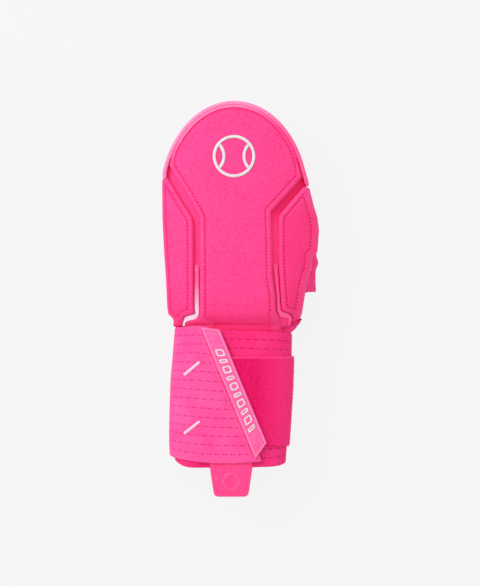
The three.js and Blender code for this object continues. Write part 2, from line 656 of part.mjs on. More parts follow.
// Badge: a ball, drawn as a ring with two seam arcs, on the dome of the centre panel
function arcPoints(middleX, radius, fromAngle, toAngle, steps) {
  const points = [];
  for (let k = 0; k <= steps; k += 1) {
    const a = mix(fromAngle, toAngle, k / steps);
    points.push(new THREE.Vector2(middleX + radius * Math.cos(a), radius * Math.sin(a)));
  }
  return points;
}
function domeBadge() {
  const inner = badgeRadius - badgeLine;
  const away = badgeArcShare * badgeRadius; // from the middle to an arc's centre
  const meet = (r) => Math.acos((away ** 2 + inner ** 2 - r ** 2) / (2 * away * inner));
  const turnBack = (r) => Math.PI - Math.acos((away ** 2 + r ** 2 - inner ** 2) / (2 * away * r));
  const arc = badgeArcRadius * badgeRadius;
  const nearRing = arc - badgeLine / 2;
  const nearMiddle = arc + badgeLine / 2;
  const shape = new THREE.Shape(arcPoints(0, badgeRadius, 0, 2 * Math.PI, 32).slice(1));
  for (const side of [-1, 1]) {
    const a = meet(nearRing);
    const b = turnBack(nearRing);
    const lens = [...arcPoints(0, inner, -a, a, 8).slice(0, -1),
      ...arcPoints(away, nearRing, b, 2 * Math.PI - b, 8).slice(0, -1)];
    shape.holes.push(new THREE.Path(lens.map((p) => new THREE.Vector2(side * p.x, p.y))));
  }
  const a = meet(nearMiddle);
  const b = turnBack(nearMiddle);
  const rightArc = arcPoints(away, nearMiddle, 2 * Math.PI - b, b, 8).slice(0, -1);
  const topArc = arcPoints(0, inner, a, Math.PI - a, 8).slice(0, -1);
  const half = [...rightArc, ...topArc];
  shape.holes.push(new THREE.Path([...half, ...half.map((p) => new THREE.Vector2(-p.x, -p.y))]));
  const geometry = new THREE.ExtrudeGeometry(shape, { depth: badgeWall, bevelEnabled: false });
  const place = geometry.attributes.position;
  for (let i = 0; i < place.count; i += 1) {
    const x = place.getX(i);
    const y = place.getY(i) + badgeAlong * handLength;
    place.setXYZ(i, x, y, shellTop(x, y) + padSeat + padWall + gap + place.getZ(i));
  }
  return geometry;
}

// Materials
const finish = (color, roughness) => new THREE.MeshStandardMaterial({ color, roughness, metalness: 0 });
const pink = { pad: '#f94692', film: '#fc94c5', rubber: '#f8a7cc', shell: '#ed2673', cloth: '#e8236e' };
const elasticPink = { strap: '#f86199', band: '#ee2f7a', loop: '#e7216e', tab: '#fc6dae', grip: '#fd4993' };

function piece(name, geometry, color, roughness) {
  const mesh = new THREE.Mesh(geometry, finish(color, roughness));
  mesh.name = name;
  return mesh;
}

const mitt = new THREE.Group();
mitt.add(
  piece('back_shell', mouldedShell(), pink.shell, 0.6),
  piece('back_centre_panel', centrePanel(), pink.pad, 0.75),
  piece('back_outer_panel', sidePanel(outerPadSeam, outerPadRim, -1), pink.pad, 0.75),
  piece('back_thumb_panel', sidePanel(thumbPadSeam, thumbPadRim, 1), pink.pad, 0.75),
  piece('channel_strip_outer', outerFilm(), pink.film, 0.3),
  piece('channel_strip_thumb', thumbFilm(), pink.pad, 0.35),
  piece('finger_bumper', bumper(), pink.rubber, 0.6),
  piece('palm_pad', palmPad(), pink.cloth, 0.8),
  piece('outer_gusset', outerGusset(), pink.cloth, 0.8),
  piece('thumb_gusset', thumbGusset(), pink.cloth, 0.8),
  piece('cuff_band', cuffBand(), elasticPink.band, 0.85),
  piece('closing_strap', closingStrap(), elasticPink.strap, 0.85),
  piece('loop_panel', loopPanel(), elasticPink.loop, 0.95),
  piece('strap_end_tab', strapEndTab(), elasticPink.tab, 0.5),
  piece('pull_tab', pullTab(), elasticPink.grip, 0.55),
  piece('dome_badge', domeBadge(), '#eaebea', 0.4),
);

// The origin is the middle of the footprint, on the floor
const bounds = new THREE.Box3().setFromObject(mitt);
const middle = bounds.getCenter(new THREE.Vector3());
mitt.position.set(-middle.x, -middle.y, -bounds.min.z);

export default mitt;
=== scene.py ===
"""A sliding mitt for the left hand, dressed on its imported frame.

Shapes are worked out in millimetres on a hand whose wrist line is y = 0, with the fingers to +y,
the thumb to +x and z up. `in_frame` puts them into the frame's own place, in metres.
"""
import math

import bpy
import numpy as np
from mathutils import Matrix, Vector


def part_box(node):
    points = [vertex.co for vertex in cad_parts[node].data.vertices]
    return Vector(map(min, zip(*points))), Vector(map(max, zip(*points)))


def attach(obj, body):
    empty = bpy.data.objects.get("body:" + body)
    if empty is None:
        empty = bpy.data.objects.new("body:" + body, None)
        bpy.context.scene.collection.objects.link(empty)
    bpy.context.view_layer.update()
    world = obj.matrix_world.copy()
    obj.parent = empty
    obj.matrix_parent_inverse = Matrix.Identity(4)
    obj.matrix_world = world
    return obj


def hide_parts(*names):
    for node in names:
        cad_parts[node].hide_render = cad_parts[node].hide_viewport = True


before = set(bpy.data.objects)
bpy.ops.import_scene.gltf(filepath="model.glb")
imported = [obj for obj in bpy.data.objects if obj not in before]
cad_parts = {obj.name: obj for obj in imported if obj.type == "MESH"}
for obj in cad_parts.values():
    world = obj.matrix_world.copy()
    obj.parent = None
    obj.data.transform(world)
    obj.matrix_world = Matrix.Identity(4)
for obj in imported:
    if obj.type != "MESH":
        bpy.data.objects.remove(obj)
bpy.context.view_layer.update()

# Camera: straight above, fingers up, framed as the photograph
FRAME_HEIGHT = 0.4688  # metres seen from top to bottom, at the height of the back of the hand
BACK_LEVEL = 0.040
VIEW_MIDDLE = (-0.0005, 0.0045)
LENS = 240.0
SENSOR = 36.0
camera_data = bpy.data.cameras.new("camera")
camera_data.lens = LENS
camera_data.sensor_width = SENSOR
camera_data.dof.use_dof = False
camera = bpy.data.objects.new("camera", camera_data)
camera.location = (*VIEW_MIDDLE, BACK_LEVEL + FRAME_HEIGHT * LENS / SENSOR)
bpy.context.collection.objects.link(camera)
bpy.context.scene.camera = camera

# Driving sizes, as in the frame's solids
HAND = 182.0
HALF = 60.0
DOME = 0.44 * HAND
DOME_MIDDLE = HAND - DOME
CROWN = 46.0
CROWN_DROP = 12.0
CROWN_POWER = 2.6
CROWN_AT_WRIST = 0.83  # the crown's width there, as a share of its full width
CROWN_OPENS = 0.3 * HAND  # and over this length it widens
SHOULDER = (34, 8, 3)  # beside the cuff's end: from here outwards, over this width, by this rise
GAP = 0.3
PAD_SEAT = 0.55
PAD_WALL = 4.5
PAD_TAIL = 1.2
TAIL_TOP = 2.6
TAIL_GAP = 0.6
TAIL_END = -0.055 * HAND
TAIL_REACH = 0.9
SHELL_WALL = 3.0
FLOOR_RISE = 1.6
BUMPER_WALL = 3.5
BUMPER_LIP = 5.4
BUMPER_SIDE = 0.69 * HAND  # below this the bumper follows the side lines
PALM_WALL = 7.0
PALM_TAIL = 2.4
PALM_RAMP = 11
PALM_INSET = 3.8
DOME_INSET = BUMPER_WALL + GAP
SHELL_INSET = BUMPER_WALL + 0.15
CUFF = 112.0
CUFF_HALF = 50.0
CUFF_HEIGHT = 47.4
SQUARE = 2.8
ELASTIC = 2.0
BAND_OUTER = -(ELASTIC + GAP)
BAND_INNER = BAND_OUTER - ELASTIC
LOOP_WALL = 1.7
TAB_WALL = 1.5
TAB_WIDTH = 13.5
TAB_LENGTH = 110.0
PULL_WIDTH = 34.0
PULL_LENGTH = 23.0
PULL_OFFSET = -2.3
PULL_ROOT_WALL = 1.2
PULL_WALL = 2.8
PULL_TAPER = 0.8
PULL_CORNER = 3.2
PULL_DROOP = 3
HAND_FOOT = 0.006 * HAND
BUMPER_ENDS = (167.5, 9.0)
STITCH = 2.75
WAVE = 6.283  # radians in one wave
THUMB_HEM = 0.158  # share of the hand's length
FILM_TOP = 0.281 * HAND
# Elastic: rows of paired eyelets and ribs, in millimetres
ROWS = 15
ROW_WIDTH = 7.27
EYELET_PITCH = 6.3
EYELET_SLANT = 1.9
RIB = 1.4

# Edge lines: (share of the hand's length, share of its half width)
SIDE_OUTER = [(0.69, 0.958), (0.585, 0.96), (0.484, 0.957), (0.325, 0.933), (0.22, 0.91),
              (0.088, 0.893), (0.06, 0.882), (0.035, 0.822), (0.006, 0.803)]
SIDE_THUMB = [(0.69, 0.958), (0.62, 1.017), (0.536, 1.068), (0.484, 1.117), (0.431, 1.137),
              (0.325, 1.113), (0.22, 1.092), (0.165, 1.083), (0.152, 0.95), (0.088, 0.925),
              (0.035, 0.905), (-0.011, 0.82)]
OUTER_RIM = [(0.664, 0.905), (0.65, 0.962), (0.585, 0.96), (0.484, 0.957), (0.325, 0.933),
             (0.22, 0.91), (0.088, 0.893), (0.062, 0.882), (0.048, 0.84), (0.035, 0.773),
             (0.008, 0.76)]
OUTER_SEAM = [(0.664, 0.888), (0.515, 0.615), (0.484, 0.556), (0.455, 0.54), (0.088, 0.54),
              (0.062, 0.527), (0.055, 0.63), (0.048, 0.672), (0.008, 0.7)]
FIELD_OUTER = [(0.742, 0.927), (0.595, 0.645), (0.52, 0.517), (0.484, 0.458), (0.062, 0.453),
               (0.048, 0.47), (0.038, 0.495), (0.029, 0.617), (0.02, 0.64), (-0.055, 0.65)]
FIELD_THUMB = [(0.742, 1.13), (0.655, 0.887), (0.51, 0.49), (0.396, 0.502), (0.229, 0.51),
               (0.141, 0.552), (0.074, 0.557), (0.045, 0.598), (-0.024, 0.66), (-0.055, 0.64)]
THUMB_SEAM = [(0.623, 0.93), (0.5, 0.612), (0.484, 0.592), (0.281, 0.595), (0.114, 0.628),
              (0.074, 0.642), (0.069, 0.69), (0.062, 0.765), (0.045, 0.793), (0.0, 0.775)]
THUMB_RIM = [(0.623, 0.947), (0.614, 1.007), (0.536, 1.068), (0.484, 1.117), (0.431, 1.137),
             (0.334, 1.115), (0.316, 1.053), (0.255, 1.032), (0.224, 0.997), (0.185, 0.967),
             (0.151, 0.95), (0.062, 0.908), (0.045, 0.885), (0.0, 0.8)]
THUMB_FILM = [(0.281, 0.518), (0.141, 0.564), (0.074, 0.569), (0.048, 0.615), (0.04, 0.725),
              (0.0, 0.72)]
# Height of the shell's middle line, as a share of CROWN
RIDGE = [(-0.07, 0.86), (0.0, 0.905), (0.13, 0.975), (0.4, 1.0), (0.68, 0.935), (0.9, 0.82),
         (1.0, 0.72)]
# Cuff: (share down the cuff, lean, girth, height), and the edges of its turns (turn, upper, lower)
CUFF_SECTIONS = [(0.0, 0.012, 0.968, 1.0), (0.12, 0.002, 0.978, 1.0), (0.37, -0.028, 1.0, 0.99),
                 (0.72, -0.064, 0.988, 0.98), (1.0, -0.08, 0.955, 0.96)]
BAND_EDGES = [(-0.4, 0.05, 0.93), (-0.25, 0.045, 0.94), (0.0, 0.039, 0.964), (0.12, 0.027, 0.99),
              (0.25, 0.014, 0.998), (0.36, 0.01, 0.998), (0.42, 0.012, 0.965), (0.5, 0.03, 0.9)]
STRAP_EDGES = [(0.15, 0.012, 0.945), (0.25, 0.0, 0.972), (0.33, -0.018, 0.955),
               (0.5, 0.003, 0.909), (0.75, 0.018, 0.902), (0.85, 0.02, 0.9)]
SLANT_TOP = (-0.544, -0.018)
SLANT_END = (0.34, 0.941)
TAB_OVERLAP = 5.5
STRAP_PALM_END = 0.8


# Numbers and lines
def mix(a, b, t):
    return a + (b - a) * t


def clamp01(t):
    return np.clip(t, 0.0, 1.0)


def ease(t):
    t = clamp01(t)
    return t * t * (3 - 2 * t)


def quarter(t):
    """Height of a quarter circle, from 0 at t = 0 to 1 at t = 1."""
    return np.sqrt(1 - (1 - clamp01(t)) ** 2)


def spread(t, share):
    """Even numbers from 0 to 1, moved closer together at both ends."""
    return mix(t, 0.5 - 0.5 * np.cos(math.pi * t), share)


def xyz(x, y, z):
    return np.stack(np.broadcast_arrays(x, y, z), -1)


def length_along(line):
    """Distance from a line's first point to each of its points."""
    return np.concatenate([[0], np.cumsum(np.linalg.norm(np.diff(line, axis=0), axis=1))])


def rounded(table, column=1, soften=0.004):
    """A table read as a line, with its corners rounded by a running mean of that width."""
    rows = np.array(sorted(table))
    at = np.linspace(rows[0, 0] - 0.02, rows[-1, 0] + 0.02, 3001)
    value = np.interp(at, rows[:, 0], rows[:, column])
    half = int(soften / (at[1] - at[0]))
    weight = np.hanning(2 * half + 3)
    value = np.convolve(np.pad(value, half + 1, mode="edge"), weight / weight.sum(), mode="valid")
    return lambda t: np.interp(t, at, value)


def edge(table):
    line = rounded(table)
    return lambda y: HALF * line(np.asarray(y) / HAND)


def curve(table, at):
    """A smooth curve through a table: a cubic, its slopes those between a row's neighbours."""
    rows = np.array(table)
    key, value = rows[:, 0], rows[:, 1]
    slope = np.empty(len(rows))
    slope[1:-1] = (value[2:] - value[:-2]) / (key[2:] - key[:-2])
    slope[0] = (value[1] - value[0]) / (key[1] - key[0])
    slope[-1] = (value[-1] - value[-2]) / (key[-1] - key[-2])
    i = np.clip(np.searchsorted(key, at), 1, len(rows) - 1)
    step = key[i] - key[i - 1]
    t = clamp01((at - key[i - 1]) / step)
    straight = mix(value[i - 1], value[i], ease(t))
    return straight + t * (1 - t) * step * ((1 - t) * slope[i - 1] - t * slope[i])


WAVE_DRAWS = ((0, 2 * math.pi), (0, 6.3), (0.7, 1.5))  # angle, phase, stretch


def waves(x, y, size, seed):
    """Smooth unevenness, mostly from -1 to 1: seven sine waves of about that size, in mm."""
    draw = np.random.default_rng(seed)
    total = 0.0
    for _ in range(7):
        angle, phase, stretch = (draw.uniform(*ends) for ends in WAVE_DRAWS)
        along = x * math.cos(angle) + y * math.sin(angle)
        total = total + np.sin(along * WAVE / (size * stretch) + phase)
    return total / 4.0


# Surfaces of the hand and the cuff
side_outer, side_thumb = edge(SIDE_OUTER), edge(SIDE_THUMB)
outer_rim, outer_seam = edge(OUTER_RIM), edge(OUTER_SEAM)
thumb_rim, thumb_seam, thumb_film = edge(THUMB_RIM), edge(THUMB_SEAM), edge(THUMB_FILM)
field_outer, field_thumb = edge(FIELD_OUTER), edge(FIELD_THUMB)


def dome_half(y, inset):
    """Half width of the finger end: half an ellipse, drawn in by an inset."""
    reach = (y - DOME_MIDDLE) / (DOME - inset)
    return (HALF - inset) * np.sqrt(np.maximum(0, 1 - reach * reach))


def dome_y(angle, inset):
    return DOME_MIDDLE + (DOME - inset) * np.sin(np.radians(angle))


def hand_rows(step, angles, inset):
    """Rows from the tail's end to the finger tip: even ones, then by angle round the dome."""
    return np.concatenate([np.arange(TAIL_END, DOME_MIDDLE, step), dome_y(angles, inset)])


def within(line, y, closer):
    return np.minimum(line(y), dome_half(np.maximum(y, DOME_MIDDLE), DOME_INSET - closer))


def cuff_section(y):
    down = -np.asarray(y) / CUFF
    lean, girth, height = (rounded(CUFF_SECTIONS, k, 0.12)(down) for k in (1, 2, 3))
    up = CUFF_HEIGHT / 2 * height
    return CUFF_HALF * lean, GAP + up, CUFF_HALF * girth, up


def signed_power(value, power):
    return np.sign(value) * np.abs(value) ** power


def cuff_point(turn, y, offset):
    """Point of the cuff: a boxy oval |x/a|^n + |z/b|^n = 1 round a leaning axis, moved by offset
    along its normal. turn is 0 at the thumb side, 0.25 on the back, 0.5 at the outer side."""
    x0, z0, across, up = cuff_section(y)
    angle = turn * 2 * math.pi
    dx = signed_power(np.cos(angle), 2 / SQUARE)
    dz = signed_power(np.sin(angle), 2 / SQUARE)
    nx = signed_power(dx, SQUARE - 1) / across
    nz = signed_power(dz, SQUARE - 1) / up
    unit = offset / np.hypot(nx, nz)
    return xyz(x0 + across * dx + nx * unit, y, z0 + up * dz + nz * unit)


def turn_at(x, y):
    x0, _, across, _ = cuff_section(y)
    share = np.clip((x - x0) / across, -1, 1)
    return np.arccos(signed_power(share, SQUARE / 2)) / (2 * math.pi)


def inside_cuff(x, y):
    x0, z0, across, up = cuff_section(np.minimum(0, y))
    share = np.minimum(TAIL_REACH, np.abs(x - x0) / (across + BAND_INNER - TAIL_GAP))
    clear = (up + BAND_INNER - TAIL_GAP) * (1 - share ** SQUARE) ** (1 / SQUARE)
    return z0 + clear, z0 - clear


def shell_top(x, y):
    """Top of the moulded shell: a crowned back, its tail low enough for what runs over it."""
    rise = CROWN * curve(RIDGE, y / HAND)
    span = HALF * mix(CROWN_AT_WRIST, 1, ease(y / CROWN_OPENS))
    crown = rise - CROWN_DROP * (np.abs(x) / span) ** CROWN_POWER
    start, width, lift = SHOULDER
    shoulder = lift * ease((np.abs(x) - start) / width) * clamp01(y)
    free = np.maximum(0, y - TAIL_TOP) + shoulder
    return np.minimum(crown, inside_cuff(x, y)[0] - (PAD_TAIL + PAD_SEAT + GAP) + free)


def shell_bottom(x, y):
    return shell_top(x, y) - mix(PAD_TAIL, SHELL_WALL, ease((y + 6) / 12))


# Putting meshes into the frame
pull_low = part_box("pull_tab")[0]
SHIFT = np.array([pull_low.x * 1000 - (PULL_OFFSET - PULL_WIDTH / 2),
                  pull_low.y * 1000 + CUFF + PULL_LENGTH, 0.0])


def in_frame(points):
    return (np.asarray(points, float) + SHIFT) / 1000


def piece(name, points, faces, node, material, cloth=None):
    """One finished piece: its mesh in the frame, faces outwards, riding on the body."""
    points = in_frame(points).reshape(-1, 3)
    quads = faces[0]
    a, b, c, d = (points[quads[:, k]] for k in range(4))
    volume = (a * np.cross(b, c)).sum() + (a * np.cross(c, d)).sum()
    all_faces = quads.tolist() + faces[1]
    if volume < 0:
        all_faces = [f[::-1] for f in all_faces]
    mesh = bpy.data.meshes.new(name)
    mesh.from_pydata(points.tolist(), [], all_faces)
    mesh.polygons.foreach_set("use_smooth", np.ones(len(mesh.polygons), bool))
    if cloth is not None:
        layer = mesh.attributes.new("cloth", "FLOAT_VECTOR", "POINT")
        layer.data.foreach_set("vector", np.asarray(cloth, np.float32).reshape(-1))
    mesh.materials.append(material)
    mesh.validate()
    obj = bpy.data.objects.new(name, mesh)
    bpy.context.collection.objects.link(obj)
    if node:
        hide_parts(node)
    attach(obj, "root")
    return obj


def ring_faces(rows, columns, closed=False, first=0):
    """Faces between closed rings of points, and a cap on both ends of the row of rings."""
    index = first + np.arange(rows * columns).reshape(rows, columns)
    if closed:
        index = np.vstack([index, index[:1]])
    beside = np.roll(index, -1, axis=1)
    quads = np.stack([index[:-1], beside[:-1], beside[1:], index[1:]], -1).reshape(-1, 4)
    caps = [] if closed else [index[0, ::-1].tolist(), index[-1].tolist()]
    return quads, caps


def rings(name, points, node, material, cloth=None):
    """A piece skinned over rings, points[i, j] being point j of ring i."""
    faces = ring_faces(points.shape[0], points.shape[1])
    return piece(name, points, faces, node, material, cloth)


def joined(name, parts, node, material):
    """One piece from several rows of rings. parts holds (points, closed)."""
    points, quads, caps, count = [], [], [], 0
    for part, closed in parts:
        part_quads, part_caps = ring_faces(part.shape[0], part.shape[1], closed, count)
        points.append(part.reshape(-1, 3))
        quads.append(part_quads)
        caps += part_caps
        count += part.shape[0] * part.shape[1]
    faces = (np.concatenate(quads), caps)
    return piece(name, np.concatenate(points), faces, node, material)


def copies(name, template, quads, caps, places, material):
    """Many copies of a template in one piece: places[k] is a 3 x 4 matrix of axes and place."""
    count = len(template)
    points = np.einsum("kij,pj->kpi", places[:, :, :3], template) + places[:, None, :, 3]
    step = np.arange(len(places))[:, None, None] * count
    all_quads = (quads[None] + step).reshape(-1, 4)
    all_caps = [[c + k * count for c in cap] for k in range(len(places)) for cap in caps]
    return piece(name, points, (all_quads, all_caps), None, material)


# Materials
def shader(name, colour, roughness, sheen=0.0, coat=0.0, specular=0.5):
    """A new material and its shader, with the numbers that are the same all over the piece."""
    made = bpy.data.materials.new(name)
    made.use_nodes = True
    surface = made.node_tree.nodes["Principled BSDF"]
    for key, value in {"Base Color": (*colour, 1), "Roughness": roughness,
                       "Specular IOR Level": specular, "Sheen Weight": sheen,
                       "Sheen Roughness": 0.45, "Sheen Tint": (1.0, 0.62, 0.82, 1),
                       "Coat Weight": coat, "Coat Roughness": 0.25}.items():
        surface.inputs[key].default_value = value
    return made, surface


def srgb(r, g, b):
    value = np.array([r, g, b]) / 255
    return tuple(np.where(value <= 0.04045, value / 12.92, ((value + 0.055) / 1.055) ** 2.4))


class Graph:
    """One new material, with short calls that add nodes to it. Colours are sRGB, 0 to 255."""

    def __init__(self, name, colour, roughness, **finish):
        self.material, self.surface = shader(name, srgb(*colour), roughness, **finish)
        self.tree = self.material.node_tree

    def add(self, kind, **settings):
        node = self.tree.nodes.new(kind)
        for key, value in settings.items():
            setattr(node, key, value)
        return node

    def join(self, source, socket):
        if isinstance(source, (int, float)):
            socket.default_value = source
        else:
            self.tree.links.new(source, socket)

    def maths(self, kind, a, b=0.0, c=0.0):
        node = self.add("ShaderNodeMath", operation=kind)
        for socket, value in zip(node.inputs, (a, b, c)):
            self.join(value, socket)
        return node.outputs[0]

    def times(self, a, b):
        return self.maths("MULTIPLY", a, b)

    def cloth(self):
        """The piece's own cloth attribute: along, across and distance from its seam, in mm."""
        read = self.add("ShaderNodeAttribute", attribute_name="cloth")
        split = self.add("ShaderNodeSeparateXYZ")
        self.join(read.outputs["Vector"], split.inputs[0])
        return split.outputs

    def noise(self, scale, detail=3.0, rough=0.6):
        place = self.add("ShaderNodeTexCoord")
        node = self.add("ShaderNodeTexNoise")
        self.join(place.outputs["Object"], node.inputs["Vector"])
        for key, value in {"Scale": scale, "Detail": detail, "Roughness": rough}.items():
            node.inputs[key].default_value = value
        return node.outputs["Fac"]

    def ramp(self, value, thumb_end_shade, high, from_value=0.0, to_value=1.0):
        node = self.add("ShaderNodeMapRange", clamp=True)
        for socket, number in zip(node.inputs, (value, thumb_end_shade, high, from_value, to_value)):
            self.join(number, socket)
        return node.outputs[0]

    def blend(self, factor, a, b):
        node = self.add("ShaderNodeMix", data_type="RGBA")
        self.join(factor, node.inputs["Factor"])
        for socket, colour in zip((node.inputs[6], node.inputs[7]), (a, b)):
            if isinstance(colour, tuple):
                socket.default_value = (*srgb(*colour), 1)
            else:
                self.join(colour, socket)
        return node.outputs[2]

    def colour(self, socket):
        self.join(socket, self.surface.inputs["Base Color"])

    def bump(self, heights, distance):
        """Bump from heights between 0 and 1, as deep as distance, in metres."""
        node = self.add("ShaderNodeBump")
        node.inputs["Strength"].default_value = 1.0
        node.inputs["Distance"].default_value = distance
        self.join(heights, node.inputs["Height"])
        self.join(node.outputs[0], self.surface.inputs["Normal"])


def pad_fabric():
    """Brushed fabric over foam: fine grain, darker in the channel, paler on the rolled edge partly
    from stretched fabric and partly as painted highlight; painted shade towards the wrist and on
    the thumb side, and a painted highlight round the dome's top left.
    """
    g = Graph("pad_fabric", (251, 50, 132), 0.7, sheen=0.05, specular=0.4)
    grain = g.noise(620, 4, 0.75)
    cloud = g.noise(45, 4)
    base = g.blend(g.ramp(grain, 0.34, 0.66), (243, 28, 114), (255, 68, 146))
    base = g.blend(g.ramp(cloud, 0.35, 0.7, 0, 0.16), base, (255, 84, 158))
    across, up, seam = g.cloth()
    apart = g.maths("ABSOLUTE", seam)
    # painted shade: darker towards the wrist, the shadow under the strap where the panel dips
    base = g.blend(g.ramp(up, 30.0, 1.0, 0.0, 0.55), base, (243, 20, 104))
    base = g.blend(g.ramp(up, 9.0, 3.0, 0.0, 0.5), base, (226, 6, 88))
    # painted highlight: the rolled band round the dome's top, paler towards the left
    lit = g.times(g.ramp(up, 128.0, 156.0), g.ramp(across, 38.0, 6.0))
    lit = g.times(lit, g.ramp(seam, -2.2, -0.6, 0.75, 0.0))
    base = g.blend(lit, base, (255, 158, 206))
    # painted shade: the thumb side of the panel darker, where it slopes away from the light
    thumb_side = g.times(g.ramp(across, 31.0, 36.0, 0.0, 0.45), g.ramp(up, 104.0, 88.0))
    base = g.blend(thumb_side, base, (243, 20, 104))
    # the rolled edge paler: partly stretched fabric, partly painted highlight
    base = g.blend(g.ramp(seam, -3.2, -0.9, 0.14, 0.0), base, (255, 112, 176))
    base = g.blend(g.ramp(apart, 0.2, 0.9, 0.34, 0.0), base, (232, 14, 96))
    g.colour(base)
    g.bump(g.maths("MULTIPLY_ADD", g.noise(3000, 1), 0.5, grain), 0.00012)
    return g.material


def two_tone(name, colour, roughness, noise, limits, dark, pale, **finish):
    """A plain material whose colour wanders between two tones."""
    g = Graph(name, colour, roughness, **finish)
    g.colour(g.blend(g.ramp(g.noise(*noise), *limits), dark, pale))
    return g


def film(name, base, pale, coat):
    """Satin film, paler towards the wrist: a painted highlight."""
    g = Graph(name, base, 0.3, coat=coat)
    _, along, _ = g.cloth()
    # painted highlight: from plain pink at the top the film turns paler towards the wrist
    tone = g.blend(g.ramp(along, 49.0, 30.0), (255, 58, 138), base)
    g.colour(g.blend(g.ramp(along, 34.0, 12.0, 0.0, 0.9), tone, pale))
    g.bump(g.noise(700, 2), 0.00004)
    return g.material


def shell_foam():
    g = Graph("shell_foam", (255, 60, 138), 0.62, specular=0.25)
    across, up, _ = g.cloth()
    tone = g.blend(g.ramp(g.noise(900, 3), 0.3, 0.75), (252, 46, 126), (255, 70, 148))
    # painted shade: the shell darker in the thumb-side channel, from about its middle up
    deep = g.times(g.ramp(across, 22.0, 30.0), g.ramp(up, 82.0, 94.0))
    g.colour(g.blend(g.times(deep, 0.75), tone, (232, 8, 90)))
    g.bump(g.noise(1800, 2), 0.0001)
    return g.material


def bumper_rubber():
    """Dotted rubber: the dots stand in the mesh; their crowns carry a painted highlight, and the
    thumb end a painted shade.
    """
    g = Graph("bumper_rubber", (255, 96, 162), 0.34, sheen=0.1, coat=0.4)
    along, _, dot = g.cloth()
    # painted shade: the bumper darker towards the thumb end, away from the light
    deep = g.ramp(along, 100.0, 150.0, 0.0, 0.9)
    base = g.blend(g.ramp(g.noise(500, 3), 0.3, 0.7), (254, 100, 166), (255, 124, 184))
    # painted highlight: the dot crowns paler, most over the top
    dot_highlight = g.times(g.ramp(dot, 0.25, 0.9), g.ramp(along, 15.0, 75.0, 0.48, 0.85))
    crown = g.blend(dot_highlight, base, (255, 210, 232))
    thumb_end_shade = g.blend(g.ramp(dot, 0.25, 0.9, 0.0, 0.6), (249, 54, 134), (255, 118, 176))
    g.colour(g.blend(deep, crown, thumb_end_shade))
    g.bump(g.noise(2200, 2), 0.00005)
    return g.material


def elastic(name, base, dark, pale, eyelet_shade):
    """Ribbed elastic: ribs along it, and rows of paired eyelets. The cloth attribute holds the
    place along in mm, the row number, and the distance across in mm."""
    g = Graph(name, base, 0.8, sheen=0.06, specular=0.22)
    along, row, across = g.cloth()
    whole = g.maths("ROUND", row)
    beside = g.times(g.maths("SUBTRACT", row, whole), ROW_WIDTH)
    slid = g.maths("MULTIPLY_ADD", whole, EYELET_SLANT, along)
    step = g.maths("FLOORED_MODULO", slid, EYELET_PITCH)
    step = g.maths("SUBTRACT", step, EYELET_PITCH / 2)
    pair = g.maths("SUBTRACT", g.maths("ABSOLUTE", step), 1.0)
    far = g.maths("SQRT", g.maths("ADD", g.maths("POWER", g.maths("ABSOLUTE", pair), 2.0),
                                  g.maths("POWER", g.maths("ABSOLUTE", beside), 2.0)))
    eyelet = g.ramp(far, 0.3, 0.66, 1.0, 0.0)
    rib = g.maths("SINE", g.times(across, WAVE / RIB))
    knit = g.maths("SINE", g.times(along, WAVE / 0.9))
    cloud = g.ramp(g.noise(60, 4), 0.3, 0.72)
    tone = g.blend(cloud, base, pale)
    tone = g.blend(g.ramp(rib, -1.0, 0.2, 0.35, 0.0), tone, dark)
    tone = g.blend(g.ramp(g.maths("ABSOLUTE", beside), 0.2, 1.1, 0.16, 0.0), tone, dark)
    # painted shade: the eyelets dark, for the shade inside the holes
    tone = g.blend(g.times(eyelet, 0.9), tone, eyelet_shade)
    g.colour(tone)
    height = g.maths("MULTIPLY_ADD", rib, 0.25, g.times(knit, 0.12))
    height = g.maths("SUBTRACT", g.maths("ADD", height, 0.6), g.times(eyelet, 0.8))
    g.bump(height, 0.00022)
    return g.material


def loop_pile():
    """Brushed loops: short fibres in uneven tufts; painted light makes them paler towards the thumb
    side and painted shade darker towards the tab.
    """
    g = Graph("loop_pile", (228, 26, 104), 0.95, sheen=0.12, specular=0.12)
    _, across, side = g.cloth()
    tuft = g.noise(420, 5, 0.75)
    fibre = g.noise(1900, 3, 0.7)
    base = g.blend(g.ramp(tuft, 0.32, 0.68), (214, 2, 84), (240, 24, 106))
    base = g.blend(g.ramp(fibre, 0.45, 0.75, 0.0, 0.2), base, (252, 58, 134))
    # painted light: paler towards the thumb side, darker towards the tab
    base = g.blend(g.ramp(side, 18.0, 40.0, 0.0, 0.85), base, (255, 50, 128))
    g.colour(g.blend(g.ramp(across, 0.5, 1.8, 0.55, 0.0), base, (255, 84, 154)))
    g.bump(g.maths("MULTIPLY_ADD", fibre, 0.6, tuft), 0.0005)
    return g.material


def side_fabric(name, base, pale):
    """Knitted side fabric: close wales along it."""
    g = Graph(name, base, 0.8, sheen=0.03, specular=0.12)
    along, across, seam = g.cloth()
    wale = g.times(*[g.maths("SINE", g.times(way, WAVE / 1.1)) for way in (along, across)])
    tone = g.blend(g.ramp(g.noise(80, 4), 0.3, 0.7), base, pale)
    tone = g.blend(g.ramp(wale, -1.0, 0.6, 0.3, 0.0), tone, (190, 12, 84))
    near_seam = g.ramp(g.maths("ABSOLUTE", seam), 0.3, 1.0, 0.55, 0.0)
    g.colour(g.blend(near_seam, tone, (190, 12, 84)))
    g.bump(g.maths("MULTIPLY_ADD", wale, 0.3, g.noise(1500, 2)), 0.0002)
    return g.material


def plastic(name, base, pale, roughness, coat):
    """Soft plastic, paler on the raised rim, the third number of the cloth attribute: a painted
    highlight.
    """
    g = Graph(name, base, roughness, coat=coat)
    _, _, rim = g.cloth()
    tone = g.blend(g.ramp(g.noise(260, 4), 0.3, 0.75, 0.0, 0.35), base, pale)
    # painted highlight on the raised rim
    g.colour(g.blend(g.ramp(rim, 0.0, 1.0, 0.0, 0.8), tone, pale))
    g.bump(g.noise(2400, 2), 0.00005)
    return g.material


